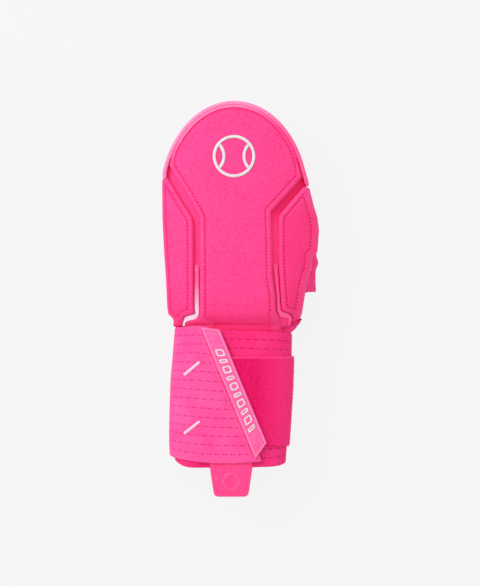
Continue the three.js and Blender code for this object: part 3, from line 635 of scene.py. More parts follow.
PAD = pad_fabric()
THREAD = two_tone("pad_thread", (250, 62, 140), 0.55, (2600, 2), (0.35, 0.7),
                  (246, 36, 118), (255, 80, 154), sheen=0.1).material
# the outer strip's film: a copy with a painted highlight towards the wrist
LIT_FILM = film("pale_film", (255, 104, 172), (255, 212, 236), 0.5)
PINK_FILM = film("pink_film", (255, 62, 142), (255, 78, 154), 0.3)
SHELL = shell_foam()
BUMPER = bumper_rubber()
STRAP_CLOTH = elastic("strap_elastic", (249, 72, 148), (240, 48, 128), (252, 94, 162), (176, 8, 78))
BAND_CLOTH = elastic("cuff_elastic", (242, 32, 112), (230, 16, 96), (249, 54, 132), (140, 0, 50))
LOOP = loop_pile()
SIDE = side_fabric("side_fabric", (255, 40, 124), (255, 70, 146))
PALM = side_fabric("palm_fabric", (240, 34, 114), (248, 60, 136))
TAB = plastic("tab_plastic", (253, 70, 146), (255, 134, 188), 0.5, 0.1)
GRIP = plastic("grip_rubber", (254, 40, 124), (255, 92, 160), 0.5, 0.08)
badge_graph = two_tone("badge_white", (214, 214, 213), 0.38, (300, 4), (0.3, 0.75),
                       (206, 206, 205), (222, 222, 221), coat=0.1)
badge_graph.bump(badge_graph.noise(1600, 2), 0.00005)
WHITE = badge_graph.material
# painted shade: dark pieces for the shade in the needle holes
NEEDLE_SHADE = two_tone("needle_shadow", (196, 8, 82), 0.9, (1800, 2), (0.3, 0.7),
                (186, 4, 74), (212, 16, 94), specular=0.1).material
WELT = plastic("welt_thread", (252, 104, 170), (255, 140, 194), 0.6, 0.0)
BAR = plastic("bar_print", (236, 186, 208), (240, 204, 220), 0.5, 0.1)


# Panels of the back of the hand
def distance(x, y, line):
    """Least distance from each point to a broken line, a block of its runs at a time."""
    points = np.stack([x, y], -1).reshape(-1, 1, 2)
    best = np.full(len(points), np.inf)
    for first in range(0, len(line) - 1, 40):
        part = line[first:first + 41]
        start, run = part[:-1], np.diff(part, axis=0)
        t = clamp01(((points - start) * run).sum(-1) / np.maximum((run ** 2).sum(-1), 1e-9))
        best = np.minimum(best, np.linalg.norm(points - start - t[..., None] * run, axis=-1).min(1))
    return best.reshape(np.shape(x))


class Panel:
    """A padded panel between two edge lines: rolled edge, sewn channel inside it, soft crown.

    Its top is the shell's top plus the pad's thickness, times a quarter circle over the rolled
    edge, less a groove exp(-(g / w)^2), where g is the distance from the seam."""

    EDGE = 0.12  # how far the roll has risen at the very edge
    ROLL = 2.3
    GROOVE = 0.85

    def __init__(self, left, right, ys, insets, held=lambda y: 0 * y):
        self.left, self.right, self.ys, self.insets, self.held = left, right, ys, insets, held
        rows = ys[::2]
        self.sides = [np.stack([line(rows), rows], -1) for line in (left, right)]
        self.ends = [np.array([[left(y), y], [right(y), y]], float) for y in (ys[0], ys[-1])]

    def seam(self, x, y):
        near = [distance(x, y, line) for line in self.sides]
        edge_near = np.minimum.reduce(near + [distance(x, y, end) for end in self.ends])
        inset = [size(y) if callable(size) else size for size in self.insets]
        return edge_near, np.minimum(near[0] - inset[0], near[1] - inset[1])

    def top(self, x, y, grooved=True):
        near, seam = self.seam(x, y)
        full = mix(PAD_TAIL, PAD_WALL, ease((y - TAIL_TOP) / 10.3))
        roll = quarter((near + self.EDGE + self.held(y)) / self.ROLL)
        share = full / PAD_WALL
        groove = self.GROOVE * np.exp(-(seam / 0.62) ** 2)
        groove = groove + 0.3 * np.exp(-np.maximum(seam, 0) / 2.4)
        band = 0.25 * np.exp(-((seam + 1.7) / 1.0) ** 2)
        uneven = 0.10 * waves(x, y, 34, 3) + 0.05 * waves(x, y, 11, 4)
        height = full * roll + share * roll * (uneven + band - (groove if grooved else 0.3))
        return shell_top(x, y) + PAD_SEAT + height, seam

    def build(self, name, node, columns):
        u = spread(np.linspace(0, 1, columns), 0.72)
        y = self.ys[:, None] + 0 * u
        x = mix(self.left(self.ys)[:, None], self.right(self.ys)[:, None], u)
        z, seam = self.top(x, y)
        under = np.linspace(columns - 1, 0, 22).astype(int)
        seat = shell_top(x[:, under], y[:, under]) + 0.35
        x_under, y_under = x[:, under], y[:, under]
        points = np.concatenate([xyz(x, y, z), xyz(x_under, y_under, seat)], 1)
        cloth = np.concatenate([xyz(x, y, seam), xyz(x_under, y_under, 0 * seat + 9)], 1)
        obj = rings(name, points, node, PAD, cloth)
        return obj

    def seam_run(self, side, keep_above):
        """Line of stitches: a side's line moved in by its inset, where no other seam cuts it."""
        line = self.sides[side]
        way = np.gradient(line, axis=0)
        way /= np.linalg.norm(way, axis=1)[:, None] + 1e-9
        inward = np.stack([way[:, 1], -way[:, 0]], -1) * (1 if side == 0 else -1)
        size = self.insets[side]
        inset = size(line[:, 1]) if callable(size) else size
        moved = line + inward * np.reshape(inset, (-1, 1))
        _, seam = self.seam(moved[:, 0], moved[:, 1])
        return moved[(seam > -0.25) & (moved[:, 1] > keep_above)]


def stitch_template():
    """One stitch, 1 long: rings of six on an arched line, thickest in the middle."""
    share = np.array([-0.5, -0.4, -0.2, 0.2, 0.4, 0.5])
    thick = np.array([0.12, 0.3, 0.38, 0.38, 0.3, 0.12])
    angle = np.arange(6) / 6 * 2 * math.pi
    rise = 0.3 - 1.3 * share ** 2
    ring = xyz(share[:, None] + 0 * angle, thick[:, None] * np.cos(angle),
               rise[:, None] + thick[:, None] * np.sin(angle) * 0.8)
    quads, caps = ring_faces(6, 6)
    return ring.reshape(-1, 3), quads, caps


def threads(name, start, end, slot, material, thick=1.0, flat=1.0):
    """Short threads between pairs of points, thickest in the middle and arched upwards."""
    template, quads, caps = stitch_template()
    way = end - start
    length = np.linalg.norm(way, axis=1)[:, None]
    cross = np.cross(np.array([0, 0, 1.0]), way / length)
    cross /= np.linalg.norm(cross, axis=1)[:, None]
    up = np.cross(way / length, cross)
    places = np.stack([way, cross * thick, up * thick * flat, (start + end) / 2], -1)
    return copies(name, template, quads, caps, places, material)


def seam_points(runs, height, first, length, sink):
    """Both ends of marks of that length along lines on a surface, one each STITCH millimetres."""
    starts, ends = [], []
    for run in runs:
        far = length_along(run)
        at = np.arange(first, far[-1] - length / 2, STITCH)
        for bag, move in ((starts, -length / 2), (ends, length / 2)):
            x, y = (np.interp(at + move, far, run[:, k]) for k in (0, 1))
            bag.append(xyz(x, y, height(x, y) - sink - 0.12 * ease((y - 105) / 15)))
    return np.concatenate(starts), np.concatenate(ends)


def sewn(name, runs, height):
    """A sewn line: stitches, and between them small dark pieces of painted shade in the needle
    holes.
    """
    threads(name + "_stitches", *seam_points(runs, height, STITCH, 1.7, 0.08), "pad_fabric", THREAD)
    threads(name + "_hole_shade", *seam_points(runs, height, STITCH / 2, 1.05, -0.02),
            "pad_fabric", NEEDLE_SHADE, thick=1.5, flat=0.5)


def foot_flare(line, y, straight):
    """How far a panel's edge has flared at its foot, where its seam runs straight on."""
    return np.where(y < 14, np.maximum(0, line(y) - straight), 0)


centre = Panel(lambda y: -within(field_outer, y, 0.25), lambda y: within(field_thumb, y, 0.25),
               hand_rows(0.8, np.linspace(0.4, 89.6, 118), DOME_INSET - 0.25),
               [lambda y: mix(4.4, 2.7, ease((y - 128) / 14)) + foot_flare(field_outer, y, 27.3),
                lambda y: mix(4.4, 2.7, ease((y - 122) / 14)) + foot_flare(field_thumb, y, 33.4)],
               held=lambda y: 1.5 * ease((y - 134) / 5))
centre.build("centre_panel", "back_centre_panel", 132)
outer_rows = np.arange(0.008 * HAND, 0.664 * HAND - GAP, 0.62)
outer_panel = Panel(lambda y: -outer_rim(y), lambda y: -outer_seam(y), outer_rows, [2.9, 4.6])
outer_panel.build("outer_panel", "back_outer_panel", 64)
thumb_rows = np.arange(0.0, 0.623 * HAND - GAP, 0.62)
thumb_panel = Panel(thumb_seam, thumb_rim, thumb_rows, [4.6, 6.0])
thumb_panel.build("thumb_panel", "back_thumb_panel", 74)


def smooth_top(panel):
    return lambda x, y: panel.top(np.asarray(x), np.asarray(y))[0]


sewn("centre", [centre.seam_run(0, 3.5), centre.seam_run(1, 3.5)], smooth_top(centre))
sewn("outer", [outer_panel.seam_run(1, 8.0)], smooth_top(outer_panel))
sewn("thumb", [thumb_panel.seam_run(0, 8.0), thumb_panel.seam_run(1, 8.0)], smooth_top(thumb_panel))


# Films in the channels, and the shell under them
def strip(name, node, left, right, ys, material):
    """Thin film lying in a channel: a low arch between its two edge lines."""
    t = np.linspace(0, 1, 15)
    x = mix(left(ys)[:, None], right(ys)[:, None], t)
    y = ys[:, None] + 0 * t
    base = shell_top(x, y) + PAD_SEAT
    arch = 0.25 + 0.85 * (1 - (2 * t - 1) ** 4) + 0.08 * waves(x, y, 6, 8)
    shown = ease((ys[-1] - y) / 7)
    arch = arch * shown - 0.3 * (1 - shown)
    points = np.concatenate([xyz(x, y, base + arch), xyz(x, y, base - 0.5)[:, ::-1]], 1)
    return rings(name, points, node, material, points)


strip("outer_strip", "channel_strip_outer",
      lambda y: -outer_seam(y) + 0.5, lambda y: -field_outer(y) - 0.5,
      np.arange(0.008 * HAND, FILM_TOP, 0.5), LIT_FILM)
strip("thumb_strip", "channel_strip_thumb", thumb_film, lambda y: thumb_seam(y) - 0.5,
      np.arange(0.0, FILM_TOP, 0.5), PINK_FILM)


def shell_edge(y, thumb_side):
    tail = (field_thumb if thumb_side else field_outer)(y) + 1 + 3.5 * ease((y + 3.2) / 2.6)
    rim = (thumb_rim if thumb_side else side_outer)(y) - 1.2
    beside = (side_thumb if thumb_side else side_outer)(y) - SHELL_INSET
    dome = dome_half(np.maximum(y, DOME_MIDDLE), SHELL_INSET)
    dome = np.where(y < BUMPER_SIDE, beside, dome)
    body = np.where(y > 0.6 * HAND, np.minimum(rim, dome), rim)
    return np.where(y < HAND_FOOT, tail, np.where(y > 0.618 * HAND, dome, body))


def moulded_shell():
    """The shell: the crowned top, a rounded rim and the same surface a wall's thickness lower."""
    ys = hand_rows(1.2, np.linspace(1, 89.5, 70), SHELL_INSET)
    t = np.linspace(0, 1, 88)
    u = spread(t, 0.92)
    x = mix(-shell_edge(ys, False)[:, None], shell_edge(ys, True)[:, None], u)
    y = ys[:, None] + 0 * u
    rim = 0.5 * (1 - quarter(np.minimum(t, 1 - t) * 40))
    top = xyz(x, y, shell_top(x, y) - rim)
    under = xyz(x, y, shell_bottom(x, y) + rim)[:, ::-1][:, ::3]
    points = np.concatenate([top, under], 1)
    return rings("moulded_shell", points, "back_shell", SHELL, points)


moulded_shell()


# Bumper round the finger end
def bumper_dots(along, across, pitch=1.75):
    """Crowns of a close pattern of dots, 1 in their middles: cosines along three ways."""
    k = 2 * math.pi / pitch
    ways = (0.0, math.pi / 3, 2 * math.pi / 3)
    total = sum(np.cos(k * (along * math.cos(a) + across * math.sin(a))) for a in ways)
    return clamp01((total + 0.6) / 3.6)


def finger_bumper():
    """A rounded wall along the outline of the finger end, with dots on its outside and top."""
    angle = np.linspace(BUMPER_ENDS[0], BUMPER_ENDS[1], 470)
    py = dome_y(angle, 0.0)
    thumb = angle < 90
    below = np.where(thumb, side_thumb(py), side_outer(py))
    px = np.where(thumb, 1, -1) * np.where(py >= BUMPER_SIDE, dome_half(py, 0), below)
    path = np.stack([px, py], -1)
    way = np.gradient(path, axis=0)
    way /= np.linalg.norm(way, axis=1)[:, None]
    inward = np.stack([way[:, 1], -way[:, 0]], -1)
    seat = path + inward * DOME_INSET
    top = shell_top(seat[:, 0], seat[:, 1]) + BUMPER_LIP
    far = length_along(path)
    # section: up the outside, over the top, down the inside
    side_count, top_count = 34, 11
    count = side_count + top_count
    up = np.linspace(0, 1, side_count)[None, :]
    height = (top - FLOOR_RISE)[:, None]
    outside_z = FLOOR_RISE + 1.3 + (height - 3.1) * up
    outside_in = 0.15 + 0.55 * up ** 6
    over = np.linspace(0.12, 0.88, top_count)[None, :] * math.pi
    over_in = BUMPER_WALL / 2 - (BUMPER_WALL / 2 - 0.1) * np.cos(over)
    over_z = top[:, None] - 1.5 + 1.5 * np.sin(over) ** 0.6
    down = np.linspace(0, 1, 7)[None, :]
    inside_z = mix(top[:, None] - 1.5, FLOOR_RISE + 0.6, down)
    foot = np.array([[2.6, 0.0], [1.4, 0.0], [0.5, 0.5]])
    even = 0 * height
    inset = np.concatenate([outside_in + even, over_in + even, BUMPER_WALL + 0 * inside_z,
                            foot[None, :, 0] + even], 1)
    z = np.concatenate([outside_z, over_z, inside_z, FLOOR_RISE + foot[None, :, 1] + even], 1)
    steps = np.hypot(np.diff(inset, axis=1), np.diff(z, axis=1))
    run = np.concatenate([np.zeros((len(z), 1)), np.cumsum(steps, 1)], 1)
    column, row = np.arange(z.shape[1]), np.arange(len(z))
    outward, rising = column < side_count, (column >= side_count) & (column < count)
    dots = bumper_dots(far[:, None], run) * (column < count)
    end = ease(np.minimum(row, row[::-1]) / 5)[:, None]
    stand = 0.28 * dots * end
    closing = 1 - 0.22 * (1 - end)
    inset = BUMPER_WALL / 2 + (inset - BUMPER_WALL / 2) * closing
    z = mix(FLOOR_RISE, z, 1 - 0.02 * (1 - end))
    inset = inset - stand * outward * 0.5
    z = z + stand * rising
    points = xyz(path[:, 0, None] + inward[:, 0, None] * inset,
                 path[:, 1, None] + inward[:, 1, None] * inset, z)
    cloth = xyz(far[:, None] + 0 * z, run, dots)
    return rings("bumper", points, "finger_bumper", BUMPER, cloth)


finger_bumper()


# Side walls and the palm pad
def side_wall(name, node, first, last_angle, foot, head, bulge, side, ripple):
    """Fabric wall from the floor's level to the shell: a bowed sheet with small puckers."""
    ys = np.arange(first, dome_y(last_angle, 0) - 1.7, 0.8)
    t = np.concatenate([np.linspace(0, 1, 34), np.linspace(1, 0, 12)])[None, :]
    inner = np.concatenate([np.zeros(34), np.full(12, 2.0)])[None, :]
    y = ys[:, None] + 0 * t
    foot, head, bulge = (np.asarray(line(ys))[:, None] for line in (foot, head, bulge))
    roof = shell_bottom(side * (head - inner), y) - GAP
    z = mix(FLOOR_RISE, roof, t)
    swell = bulge * 4 * t * (1 - t)
    hem_fold = 0.6 + 0.8 * np.sin(y * 2.3 + 0.45 * z) + 0.45 * np.sin(y * 1.3 - 0.8 * z)
    crumple = hem_fold * np.exp(-(y - ys[0]) / 4.5)
    near_rims = np.exp(-z / 3) + np.exp(-(roof - z) / 3)
    pucker = 0.5 * waves(y, z, 9, 21) + 0.35 * np.sin(y * WAVE / 3.4) * near_rims
    fold = (crumple + ripple * pucker) * np.sin(math.pi * clamp01(t * 0.96 + 0.02)) - 0.1
    out = mix(foot, head, t) + swell - inner + np.where(inner > 0, 0, fold)
    hem = np.minimum(z - FLOOR_RISE, roof - z) - 2.6
    cloth = xyz(y, z, np.where(inner > 0, 9, hem))
    return rings(name, xyz(side * out, y, z), node, SIDE, cloth)


outer_wall = side_wall("outer_wall", "outer_gusset", HAND_FOOT, BUMPER_ENDS[0],
                       lambda y: side_outer(y) - 1, lambda y: side_outer(y) - 2.2,
                       lambda y: 1.0 + 0 * y, -1, 0.35)
thumb_foot = edge([row for row in SIDE_THUMB if row[0] > THUMB_HEM] + [(0.15, 1.08)])
thumb_wall = side_wall("thumb_wall", "thumb_gusset", THUMB_HEM * HAND, BUMPER_ENDS[1],
                       lambda y: thumb_foot(y) - 1, lambda y: thumb_rim(y) - 2.2,
                       lambda y: np.maximum(0.8, (thumb_foot(y) - thumb_rim(y)) / 2 + 1.1)
                       + 1.5 * np.exp(-((y - 53) / 4.6) ** 2), 1, 0.8)


def palm_edge(y, thumb_side):
    tail = (field_thumb if thumb_side else field_outer)(HAND_FOOT) - 4
    side = (side_thumb if thumb_side else side_outer)(y)
    inset = np.where((y < THUMB_HEM * HAND) & thumb_side, 0.8, PALM_INSET)
    dome = np.where(y > BUMPER_SIDE, dome_half(y, PALM_INSET), 1e3)
    return np.where(y < HAND_FOOT, tail, np.minimum(side - inset, dome))


def palm():
    """Palm pad: flat below, sewn round its edge and three times across, with a thin tail."""
    ys = hand_rows(0.9, np.linspace(1, 89.5, 96), PALM_INSET)
    u = spread(np.linspace(0, 1, 96), 0.75)
    left, right = -palm_edge(ys, False)[:, None], palm_edge(ys, True)[:, None]
    x = mix(left, right, u)
    y = ys[:, None] + 0 * u
    lifted = 1 - ease((y - HAND_FOOT) / PALM_RAMP)
    seat = lifted * inside_cuff(x, y)[1]
    sides = [np.stack([side[:, 0], ys], -1) for side in (left, right)]
    outline = np.concatenate([sides[0], sides[1][::-1]])[::2]
    near = distance(x, y, outline)
    rim = 1.4 * (1 - quarter(near / 1.6))
    across = np.minimum.reduce([np.abs(y - row + 0.12 * x) for row in (34, 78, 122)])
    seam = np.where(near < 6.5, near - 6.5, np.minimum(near - 6.5, across))
    channel = 0.8 * np.exp(-(seam / 0.9) ** 2) * (1 - lifted)
    thick = mix(PALM_WALL, PALM_TAIL, lifted)
    under = xyz(x, y, seat + (rim + channel) * (1 - lifted))
    over = xyz(x, y, seat + thick - rim * (1 - 0.6 * lifted))
    cloth = xyz(x, y, seam)
    points = np.concatenate([under, over[:, ::-1][:, ::2]], 1)
    cloth = np.concatenate([cloth, (cloth + np.array([0, 0, 9]))[:, ::-1][:, ::2]], 1)
    obj = rings("palm", points, "palm_pad", PALM, cloth)
    return obj


palm()


# The cuff: two turns of elastic, the loop panel, the slanted tab and the pull tab
def eyelet_dip(along, row):
    """Depth share of paired eyelets: a bell round two places in each pitch of a row."""
    whole = np.round(row)
    step = np.mod(along + whole * EYELET_SLANT, EYELET_PITCH) - EYELET_PITCH / 2
    return np.exp(-((np.abs(step) - 1.0) ** 2 + ((row - whole) * ROW_WIDTH) ** 2) / 0.42 ** 2)


def patch(edges, start, end, steps, offset, wall, columns, face, dip=None):
    """A patch of the cuff as rings: each ring goes down its outside and back up its inside.
    face(along, across, width) gives how far the outside lies below the patch's level."""
    upper, lower = rounded(edges, 1, 0.05), rounded(edges, 2, 0.05)
    v = np.concatenate([np.linspace(0, 1, columns), np.linspace(1, 0, 26)])[None, :]
    inner = np.concatenate([np.zeros(columns), np.ones(26)])[None, :]
    s = np.linspace(0, 1, steps)[:, None]
    turn = mix(start(v), end, s)
    y = -CUFF * mix(upper(turn), lower(turn), v)
    width = CUFF * (lower(turn) - upper(turn))
    flat = cuff_point(turn, y, offset)
    step = np.linalg.norm(np.diff(flat, axis=0), axis=-1)
    along = np.concatenate([np.zeros((1, step.shape[1])), np.cumsum(step, 0)])
    across = v * width
    rim = np.minimum(across, width - across)
    round_off = 0.8 * (1 - quarter(rim / 0.9))
    below = np.where(inner > 0, wall - round_off * 0.5, round_off + face(along, across, width))
    if dip is not None:
        below = below + dip(flat[..., 0], y)
    points = cuff_point(turn, y, offset - below)
    return points, along, across, width, inner


def elastic_face(along, across, width):
    row = across / width * ROWS
    rib = 0.10 * (1 - np.abs(np.sin(math.pi * across / RIB)))
    groove = 0.07 * np.exp(-((row - np.round(row)) * ROW_WIDTH / 0.8) ** 2)
    shown = (row > 0.5) & (row < ROWS - 0.5)
    wave = 0.18 * waves(along, across, 26, 31)
    return rib + shown * (groove + 0.5 * eyelet_dip(along, row)) + 0.15 - wave * 0.6


def slant_xy(v):
    x = CUFF_HALF * mix(SLANT_TOP[0], SLANT_END[0], v)
    return x, -CUFF * mix(SLANT_TOP[1], SLANT_END[1], v)


def strap_start(v):
    x, y = slant_xy(v)
    return turn_at(x + TAB_OVERLAP, y)


def elastic_piece(name, node, material, edges, start, end, steps, offset, dip=None):
    points, along, across, width, inner = patch(edges, start, end, steps, offset, ELASTIC, 236,
                                                elastic_face, dip)
    cloth = xyz(along, np.where(inner > 0, 0.5, across / width * ROWS), across)
    return rings(name, points, node, material, cloth)


def pull_dip(x, y):
    reach = 1 - ease((np.abs(x - PULL_OFFSET) - PULL_WIDTH / 2 - 4) / 7)
    return 1.5 * reach * (1 - ease((y + CUFF - 8.5) / 7))


strap = elastic_piece("strap", "closing_strap", STRAP_CLOTH, STRAP_EDGES,
                      strap_start, STRAP_PALM_END, 250, 0.0)
band = elastic_piece("cuff_turn", "cuff_band", BAND_CLOTH, BAND_EDGES,
                     lambda v: -0.36 + 0 * v, 0.44, 270, BAND_OUTER, pull_dip)


def wrist_cloth(name, table):
    """Crumpled fabric at a side of the wrist: a strip inside the elastic with small ruffles. The
    table holds (turn, top, level there, level under the elastic, where it leaves the elastic), the
    levels being offsets from the cuff's surface."""
    rows = np.array(table)
    turn = np.linspace(rows[0, 0], rows[-1, 0], 150)[:, None]
    top, level, under, leaves = (np.interp(turn, rows[:, 0], rows[:, k]) for k in (1, 2, 3, 4))
    v = np.concatenate([np.linspace(0, 1, 40), np.linspace(1, 0, 40)])[None, :]
    inner = np.concatenate([np.zeros(40), np.full(40, 0.6)])[None, :]
    far = turn * 250
    y = mix(-9.0, top + 0.45 * np.sin(far * 0.76) + 0.3 * np.sin(far * 1.64 + 1), v)
    free = clamp01((y - leaves) / np.maximum(0.5, top - leaves)) ** 0.7
    ruffle = (0.55 * np.sin(far * 1.04 + 0.7 * y) + 0.35 * np.sin(far * 0.4 - 1.6 * y)) * free
    rim = np.minimum(v * 12, (1 - v) * 12)
    offset = mix(under, level, free) + ruffle - inner * np.minimum(1, rim + 0.2)
    points = cuff_point(turn, y, offset)
    place = xyz(far, y, np.where(inner > 0, 9.0, 2.2 - 2 * v))
    obj = rings(name, points, None, SIDE, place)
    return obj


wrist_cloth("wrist_cloth_thumb",
            [(-0.075, 6.2, 3.0, -4.35, -4.4), (-0.01, 7.2, 5.2, -4.35, -4.4),
             (0.03, 6.4, 5.0, -4.35, -4.4), (0.055, 3.6, 2.4, -4.35, -4.4),
             (0.08, 0.6, -3.0, -4.35, -4.0), (0.1, -1.0, -4.4, -4.35, -3.4),
             (0.128, -1.4, -4.4, -4.35, -3.0)])
wrist_cloth("wrist_cloth_outer",
            [(0.375, -1.0, -4.4, -4.35, -1.4), (0.41, 0.6, -4.2, -4.35, -1.2),
             (0.44, 1.8, -1.0, -4.35, -0.8), (0.455, 2.4, 0.3, -2.1, -0.5),
             (0.5, 2.2, 0.7, -2.1, -0.4), (0.56, 1.6, 0.4, -2.1, -0.4)])


def loop_field():
    """Brushed panel: short tufts standing unevenly, thinning towards a ragged edge."""
    upper, lower, end = 0.205, 0.845, -0.07
    edges = [(-1.0, upper, lower), (1.0, upper, lower)]

    def start(v):
        share = (mix(upper, lower, v) - SLANT_TOP[1]) / (SLANT_END[1] - SLANT_TOP[1])
        x, y = slant_xy(share)
        return turn_at(x + TAB_OVERLAP + 1, y)

    def face(along, across, width):
        tuft = 0.22 * waves(along, across, 3.1, 41) + 0.16 * waves(along, across, 1.7, 42)
        return 0.35 - tuft

    points, along, across, width, _ = patch(edges, start, end, 190, BAND_OUTER + GAP + LOOP_WALL,
                                            LOOP_WALL, 170, face)
    ragged = 0.45 * waves(along, 0 * across, 2.3, 43) + 0.3 * waves(along, 0 * across, 5.1, 44)
    at_edge = np.exp(-across / 1.5) + np.exp(-(width - across) / 1.5)
    points[..., 1] += ragged * at_edge
    cloth = xyz(along, across, points[..., 0])
    return rings("loop_field", points, "loop_panel", LOOP, cloth)


loop = loop_field()


def tab_point(t, s, offset):
    """Point on the slanted tab: t along it, s across, offset out from the cuff."""
    v = mix(0.008 + 0.068 * s, 0.995 - 0.075 * s, t)
    x, y = slant_xy(v)
    x0, y0 = slant_xy(np.array(0.0))
    x1, y1 = slant_xy(np.array(1.0))
    run = math.hypot(x1 - x0, y1 - y0)
    x = x + (y0 - y1) / run * TAB_WIDTH * s
    y = y + (x1 - x0) / run * TAB_WIDTH * s
    return cuff_point(turn_at(x, y), y, offset)


def end_tab():
    """Slanted tab: a plate with a raised rim and a bevelled edge."""
    t = np.linspace(0, 1, 230)[:, None]
    s = spread(np.linspace(0, 1, 62), 0.6)[None, :]
    near = np.minimum(np.minimum(s, 1 - s) * TAB_WIDTH, np.minimum(t, 1 - t) * TAB_LENGTH)
    bevel = 0.85 * (1 - ease(near / 0.8))
    rim = np.exp(-((near - 1.2) / 0.55) ** 2)
    sunk = 0.3 * ease((near - 1.4) / 0.7)
    top = tab_point(t, s, GAP + TAB_WALL - bevel - sunk)
    under = tab_point(t, s[:, ::-4] + 0 * t, GAP + 0 * t)
    points = np.concatenate([top, under], 1)
    # the rim share, on which the material paints a highlight
    place = np.concatenate([xyz(t * TAB_LENGTH + 0 * s, s * TAB_WIDTH + 0 * t, rim + 0 * t),
                            np.zeros(under.shape)], 1)
    return rings("end_tab", points, "strap_end_tab", TAB, place)


end_tab()


def tab_welt():
    """Zigzag of pale thread that sews the strap's end, beside the tab."""
    t = np.linspace(0.03, 0.97, 132)
    s = -0.13 + 0.05 * np.where(np.arange(len(t)) % 2, 1, -1)
    points = tab_point(t, s, 0.12 + 0 * t)
    return threads("tab_welt", points[:-1], points[1:], "strap_elastic", WELT, thick=0.7)


tab_welt()


def tab_marks():
    """A row of small raised outlines along the tab, long and short by turns."""
    starts = 19.0 + np.cumsum([0, 8.9, 6.1, 8.9, 6.1, 8.9, 6.1, 8.9, 6.1, 8.9])
    angle = np.linspace(0, 2 * math.pi, 21)[:-1]
    corner_u, corner_w = signed_power(np.cos(angle), 0.4), signed_power(np.sin(angle), 0.4)
    parts = []
    for k, start in enumerate(starts):
        half = (6.2 if k % 2 == 0 else 3.4) / 2
        ring = []
        for inset, lift in [(0.0, 0.95), (0.0, 1.35), (0.2, 1.5), (1.0, 1.5), (1.2, 1.1)]:
            u = start + half + (half - inset) * corner_u
            w = TAB_WIDTH / 2 + (3.2 - inset) * corner_w
            ring.append(tab_point(u / TAB_LENGTH, w / TAB_WIDTH, GAP + lift + 0 * u))
        parts.append((np.stack(ring), False))
    return joined("tab_marks", parts, None, WHITE)


tab_marks()


def pull():
    """Pull tab: thin root between the turns, a thicker grip past the rim with an embossed ring."""
    rim, end = -CUFF, -CUFF - PULL_LENGTH
    y = np.concatenate([np.linspace(end, rim + 1.5, 96), np.linspace(rim + 2.2, rim + 7.5, 8)])
    y = y[:, None]
    s = mix(np.linspace(-1, 1, 96), np.sin(np.linspace(-1, 1, 96) * math.pi / 2), 0.6)[None, :]
    past = clamp01((rim - y) / PULL_LENGTH)
    cut = PULL_CORNER * (1 - quarter((y - end) / PULL_CORNER))
    half = PULL_WIDTH / 2 * mix(1, PULL_TAPER, past) - cut
    x = PULL_OFFSET + half * s
    on = np.maximum(y, rim)
    seat = cuff_point(turn_at(x, on), on, -(ELASTIC + GAP + PULL_ROOT_WALL / 2))[..., 2]
    middle = seat - PULL_DROOP * past ** 2
    wall = mix(PULL_ROOT_WALL, PULL_WALL, ease((rim - GAP - y) / 2.5))
    near = np.minimum(half * (1 - np.abs(s)), y - end)
    edge_round = quarter((near + 0.1) / 1.1)
    ring = np.abs(np.hypot(x - PULL_OFFSET, y - rim + 0.47 * PULL_LENGTH) - 6.2)
    emboss = 0.45 * np.exp(-(ring / 0.75) ** 4) * ease((rim - 1 - y) / 2)
    rim_line = 0.3 * np.exp(-((near - 2.0) / 0.5) ** 2) * ease((rim - 1 - y) / 2)
    z = middle + wall / 2 * edge_round - rim_line * 0.6 + emboss
    lower = middle - wall / 2 * edge_round
    top = xyz(x, y, z)
    under = xyz(x, y, lower)[:, ::-4]
    # painted highlight on the embossed ring and the rounded edge, read by the material
    raised = xyz(x, y, emboss * 1.2 + 0.5 * (1 - edge_round))
    return rings("pull", np.concatenate([top, under], 1), "pull_tab", GRIP,
                 np.concatenate([raised, np.zeros(under.shape)], 1))


pull()


# Badge on the dome, and two bars on the strap
def flat_bar(path, width, seat, lift, closed=False):
    """Rings of a flat bar with bevelled edges, carried along a path on a surface."""
    way = np.gradient(path, axis=0)
    if closed:
        way = np.roll(path, -1, 0) - np.roll(path, 1, 0)
    way /= np.linalg.norm(way, axis=1)[:, None]
    beside = np.stack([-way[:, 1], way[:, 0]], -1)
    section = np.array([[-0.5, -0.1], [-0.5, 0.6], [-0.38, 1.0],
                        [0.38, 1.0], [0.5, 0.6], [0.5, -0.1]])
    xy = path[:, None] + beside[:, None] * (section[None, :, :1] * width)
    z = seat(xy[..., 0], xy[..., 1]) + section[None, :, 1] * lift
    return np.concatenate([xy, z[..., None]], -1)


def badge():
    """A ball's outline and its two seam arcs."""
    radius, line, along = 17.0, 2.4, 0.754 * HAND
    angle = np.linspace(0, 2 * math.pi, 121)[:-1]
    middle = radius - line / 2
    loops = [(np.stack([middle * np.cos(angle), middle * np.sin(angle)], -1), True)]
    away, arc = 1.25 * radius, 0.78 * radius
    inner = radius - line
    reach = math.acos((away ** 2 + arc ** 2 - inner ** 2) / (2 * away * arc))
    for side in (-1, 1):
        bend = np.linspace(math.pi - reach, math.pi + reach, 50)
        x = side * (away + arc * np.cos(bend))
        loops.append((np.stack([x, arc * np.sin(bend)], -1), False))
    seat = smooth_top(centre)
    parts = [(flat_bar(path + np.array([0, along]), line, seat, 0.95, closed), closed)
             for path, closed in loops]
    return joined("badge", parts, "dome_badge", WHITE)


badge()


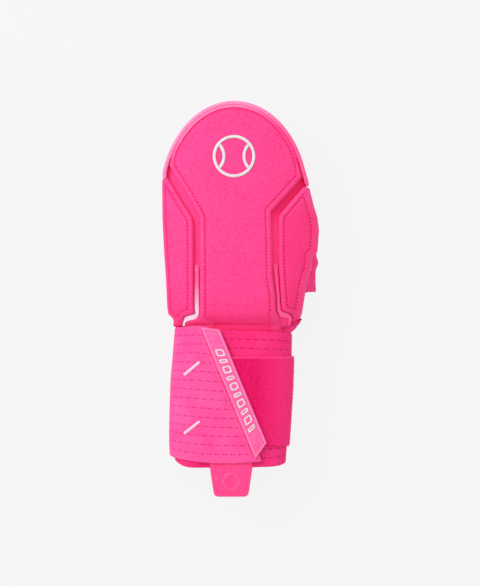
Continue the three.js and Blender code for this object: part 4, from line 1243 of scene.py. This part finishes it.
def strap_bars():
    """Two pale slanted bars printed thick on the strap."""
    t = np.linspace(0, 1, 24)[:, None]
    w = np.array([-1.1, -1.1, -0.9, 0.9, 1.1, 1.1])[None, :]
    lift = np.array([-0.1, 0.3, 0.45, 0.45, 0.3, -0.1])[None, :]
    parts = []
    for low_y, high_y in ((-37.5, -27.0), (-84.5, -74.5)):
        x = mix(-40.0, -27.5, t) - 0.6 * w
        y = mix(low_y, high_y, t) + 0.8 * w
        parts.append((cuff_point(turn_at(x, y), y, lift - 0.1 + 0 * t), False))
    return joined("strap_bars", parts, None, BAR)


strap_bars()


# Floor and light
def floor():
    size = 3.0
    mesh = bpy.data.meshes.new("floor")
    corners = [(x * size, y * size, -0.0002) for x, y in ((-1, -1), (1, -1), (1, 1), (-1, 1))]
    mesh.from_pydata(corners, [], [(0, 1, 2, 3)])
    made, surface = shader("floor_paper", (0.05, 0.05, 0.05), 0.9, specular=0.0)
    surface.inputs["Emission Color"].default_value = (1, 1, 1, 1)
    surface.inputs["Emission Strength"].default_value = 0.866
    mesh.materials.append(made)
    obj = bpy.data.objects.new("floor", mesh)
    bpy.context.collection.objects.link(obj)


floor()


def lamp(name, place, aim, size, power):
    data = bpy.data.lights.new(name, "AREA")
    data.shape = "SQUARE"
    data.size = size
    data.energy = power
    obj = bpy.data.objects.new(name, data)
    obj.location = place
    toward = np.array(aim) - np.array(place)
    yaw = math.atan2(toward[1], toward[0])
    tilt = math.acos(-toward[2] / np.linalg.norm(toward))
    obj.rotation_euler = (tilt, 0, yaw - math.pi / 2)
    bpy.context.collection.objects.link(obj)


lamp("key", (-1.5, 1.2, 1.6), (0, 0, 0), 1.1, 33.0)
world = bpy.data.worlds.new("studio")
bpy.context.scene.world = world
world.use_nodes = True
world.node_tree.nodes["Background"].inputs["Color"].default_value = (1, 1, 1, 1)
world.node_tree.nodes["Background"].inputs["Strength"].default_value = 0.86
bpy.context.scene.view_settings.view_transform = "Standard"
bpy.context.scene.view_settings.look = "None"
